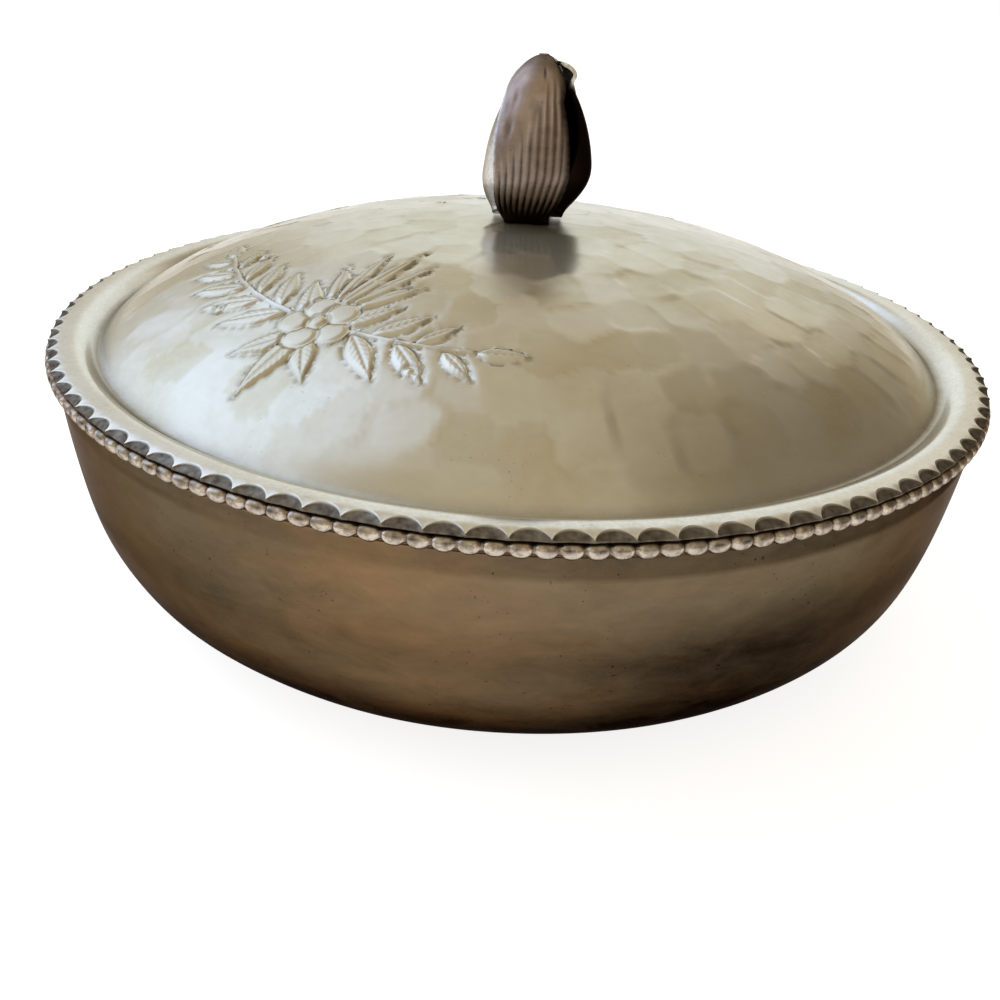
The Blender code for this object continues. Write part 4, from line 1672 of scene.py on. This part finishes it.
@dataclass
class Fasteners:
    """The screw, nut and washers that hold the knob, at the places of their CAD nodes."""

    sides: int = 48
    chamfer: float = 0.00018
    thread_pitch: float = 0.0008
    thread_depth: float = 0.00035
    slot_width: float = 0.0012
    slot_depth: float = 0.0010
    hole: float = 0.0027
    shaft: float = 0.0024
    head_height: float = 0.0026
    plain_shaft: float = 0.0060
    sharp_angle: float = math.radians(35)

    def ring(self, name: str, node: str, material: bpy.types.Material, corners: int = 0) -> None:
        """Make a washer, or a nut where it has corners, from two circles.

        Args:
            name: The piece's name.
            node: The CAD node that it stands for.
            material: The finish.
            corners: Corners of the outline, or 0 for a round one.
        """
        low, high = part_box(node)
        size = high - low
        bm = bmesh.new()
        outline, _ = (bmesh.ops.create_circle(bm, segments=self.sides, radius=radius)["verts"]
                      for radius in (max(size.x, size.y) / 2, self.hole))
        if corners:
            half = math.pi / corners
            phase = 0.0 if size.x > size.y else math.pi / 2
            for vert in outline:
                off = (math.atan2(vert.co.y, vert.co.x) - phase) % (2 * half) - half
                vert.co *= math.cos(half) / math.cos(off)
        bmesh.ops.bridge_loops(bm, edges=bm.edges[:])
        grown = bmesh.ops.extrude_face_region(bm, geom=bm.faces[:])
        lifted = [part for part in grown["geom"] if isinstance(part, bmesh.types.BMVert)]
        bmesh.ops.translate(bm, verts=lifted, vec=(0, 0, size.z))
        bmesh.ops.recalc_face_normals(bm, faces=bm.faces[:])
        sharp = [edge for edge in bm.edges if edge.calc_face_angle(0) > math.radians(70)]
        bmesh.ops.bevel(bm, geom=sharp, offset=self.chamfer, segments=2, profile=0.5,
                        affect="EDGES", material=-1)
        middle = (low + high) / 2
        bmesh.ops.translate(bm, verts=bm.verts[:], vec=(middle.x, middle.y, low.z))
        Piece(name, Body.LID, Slot.FASTENER, (node,), self.sharp_angle).place(bm, material)

    def screw(self, material: bpy.types.Material) -> None:
        """Turn the screw, with rings for its thread and a slot across its head.

        Args:
            material: The finish.
        """
        low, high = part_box("knob_screw")
        head = (high.x - low.x) / 2
        core = self.shaft - self.thread_depth
        under = high.z - self.head_height
        stations = [Station(0.0, low.z), Station(core, low.z)]
        height = low.z + 0.3 * MM
        while height < under - self.plain_shaft:
            stations += [Station(self.shaft, height), Station(core, height + self.thread_pitch / 2)]
            height += self.thread_pitch
        stations += [
            Station(self.shaft, height), Station(self.shaft, under), Station(head, under),
            Station(head, under + 1.0 * MM), Station(0.85 * head, under + 2.0 * MM),
            Station(0.45 * head, high.z - 0.05 * MM), Station(0.0, high.z),
        ]
        turned = Turned(stations)
        turned.turn(self.sides)
        bm = turned.close()
        half = self.slot_width / 2
        for side in (-half, half):
            bmesh.ops.bisect_plane(bm, geom=bm.verts[:] + bm.edges[:] + bm.faces[:],
                                   plane_co=(0, side, 0), plane_no=(0, 1, 0))
        crown = under + 1.2 * MM
        for vert in bm.verts:
            if vert.co.z > crown and abs(vert.co.y) < half * 0.999:
                vert.co.z = max(vert.co.z - self.slot_depth, crown)
        Piece("knob_screw_slotted", Body.LID, Slot.FASTENER, ("knob_screw",),
              self.sharp_angle).place(bm, material)

    def build(self, material: bpy.types.Material) -> None:
        """Make all the fasteners.

        Args:
            material: The finish.
        """
        self.ring("washer_in_knob", "knob_washer", material)
        self.ring("washer_under_lid", "lid_washer", material)
        self.ring("hexagon_nut", "knob_nut", material, corners=6)
        self.screw(material)


# Studio


@dataclass(frozen=True)
class Glow:
    """A soft bright or dark part of the surroundings, round a direction.

    The azimuth is 0 behind the object and grows to the right. Angles are in degrees.
    """

    azimuth: float
    elevation: float
    inner: float
    outer: float
    light: Place

    def direction(self) -> Place:
        """The direction of its middle.

        Returns:
            A vector of length 1.
        """
        turn, tilt = math.radians(self.azimuth), math.radians(self.elevation)
        level = math.cos(tilt)
        return level * math.sin(turn), level * math.cos(turn), math.sin(tilt)


@dataclass
class Studio:
    """A plain white floor, soft light from the back and the left, and the camera."""

    camera_place: Place = (-0.001, -0.268376, 0.155417)
    camera_aim: Place = (-0.002669, 0.0, 0.006677)
    camera_roll: float = math.radians(3.4586)
    lens: float = 34.2
    floor_radius: float = 15.0
    floor_drop: float = 0.0001
    floor_color: str = "C4C4C4"
    floor_glow: float = 0.82
    ambient: Place = (0.66, 0.58, 0.43)
    glows: tuple[Glow, ...] = (
        Glow(180, 28, 6, 26, (1.00, 0.93, 0.84)),
        Glow(78, 31, 15, 51, (0.24, 0.19, 0.14)),
        Glow(3, 14, 6, 33, (1.26, 1.36, 1.46)),
        Glow(-66, 35, 1, 45, (1.42, 1.72, 2.32)),
        Glow(29, 26, 1, 11, (1.05, 1.02, 0.92)),
    )

    def build(self) -> None:
        """Make the floor, the surroundings and the camera."""
        self.add_floor()
        self.add_surroundings()
        self.add_camera()

    def add_floor(self) -> None:
        """Lay the floor, which stays white to the camera but keeps the object's soft shadow."""
        bm = bmesh.new()
        bmesh.ops.create_circle(bm, cap_ends=True, segments=64, radius=self.floor_radius)
        bmesh.ops.translate(bm, verts=bm.verts[:], vec=(0, 0, -self.floor_drop))
        mesh = bpy.data.meshes.new("floor")
        bm.to_mesh(mesh)
        bm.free()
        floor = bpy.data.objects.new("floor", mesh)
        bpy.context.scene.collection.objects.link(floor)
        material, tree = new_tree("matt_white_paper")
        mesh.materials.append(material)
        path = add_node(tree, "ShaderNodeLightPath")
        seen = path.outputs["Is Camera Ray"]
        for ray in ("Is Glossy Ray", "Is Transmission Ray"):
            seen = add_node(tree, "ShaderNodeMath", (seen, path.outputs[ray]),
                            operation="MAXIMUM").outputs[0]
        strength = add_node(tree, "ShaderNodeMath", (seen, self.floor_glow),
                            operation="MULTIPLY").outputs[0]
        paper = add_node(tree, "ShaderNodeBsdfDiffuse", (linear(self.floor_color),)).outputs[0]
        glow = add_node(tree, "ShaderNodeEmission", {"Strength": strength}).outputs[0]
        total = add_node(tree, "ShaderNodeAddShader", (paper, glow)).outputs[0]
        add_node(tree, "ShaderNodeOutputMaterial", {"Surface": total})

    def add_surroundings(self) -> None:
        """Light the scene from all round, with soft bright and dark parts."""
        world = bpy.data.worlds.new("soft_studio")
        world.use_nodes = True
        tree = world.node_tree
        tree.nodes.clear()
        direction = add_node(tree, "ShaderNodeTexCoord").outputs["Generated"]
        color = None
        for glow in self.glows:
            nearness = add_node(tree, "ShaderNodeVectorMath", (direction, glow.direction()),
                                operation="DOT_PRODUCT").outputs["Value"]
            edges = (math.cos(math.radians(turn)) for turn in (glow.outer, glow.inner))
            share = add_node(tree, "ShaderNodeMapRange", (nearness, *edges),
                             interpolation_type="SMOOTHSTEP").outputs[0]
            color = add_node(tree, "ShaderNodeMix", {
                0: share, 6: color or (*self.ambient, 1.0), 7: (*glow.light, 1.0),
            }, data_type="RGBA").outputs[2]
        # The camera itself sees plain white behind the object
        seen = add_node(tree, "ShaderNodeLightPath").outputs["Is Camera Ray"]
        color = add_node(tree, "ShaderNodeMix", {0: seen, 6: color, 7: (1.0, 1.0, 1.0, 1.0)},
                         data_type="RGBA").outputs[2]
        background = add_node(tree, "ShaderNodeBackground", (color, 1.0)).outputs[0]
        add_node(tree, "ShaderNodeOutputWorld", {"Surface": background})
        bpy.context.scene.world = world

    def add_camera(self) -> None:
        """Set up the camera at the photograph's place and angle."""
        data = bpy.data.cameras.new("camera")
        data.lens = self.lens
        camera = bpy.data.objects.new("camera", data)
        bpy.context.scene.collection.objects.link(camera)
        aim = Vector(self.camera_aim) - Vector(self.camera_place)
        turn = aim.to_track_quat("-Z", "Y") @ Quaternion((0, 0, 1), self.camera_roll)
        camera.location = self.camera_place
        camera.rotation_euler = turn.to_euler()
        bpy.context.scene.camera = camera


def main() -> None:
    """Build every sub-assembly and the studio round it."""
    logging.basicConfig(level=logging.INFO)
    scene = bpy.context.scene
    scene.view_settings.view_transform = "Standard"
    Bowl().build(BOWL_FINISH.material())
    Lid().build(LID_FINISH.material())
    knob_metal = KNOB_FINISH.material()
    strips = (
        PetalStrip("ribbed_petals", "knob_outer_petals", inset=0.0, foot_lift=0.0,
                   left_wrap=(0.44, 0.46, 0.54, 0.66, 1.00),
                   right_wrap=(0.32, 0.34, 0.36, 0.34, 0.70),
                   flare=0.0, is_ribbed=True, is_crosswise=False),
        PetalStrip("plain_petals", "knob_inner_petals", inset=0.0021, foot_lift=0.0013,
                   left_wrap=(0.54, 0.66, 0.50, 0.36, 0.44),
                   right_wrap=(0.54, 0.66, 0.50, 0.36, 0.44),
                   flare=0.0040, is_ribbed=False, is_crosswise=True),
    )
    inside_shade_metal = INSIDE_SHADE_FINISH.material()
    for strip in strips:
        strip.build(knob_metal, inside_shade_metal)
    Fasteners().build(SteelFinish().material())
    Studio().build()


if __name__ == "__main__":
    main()
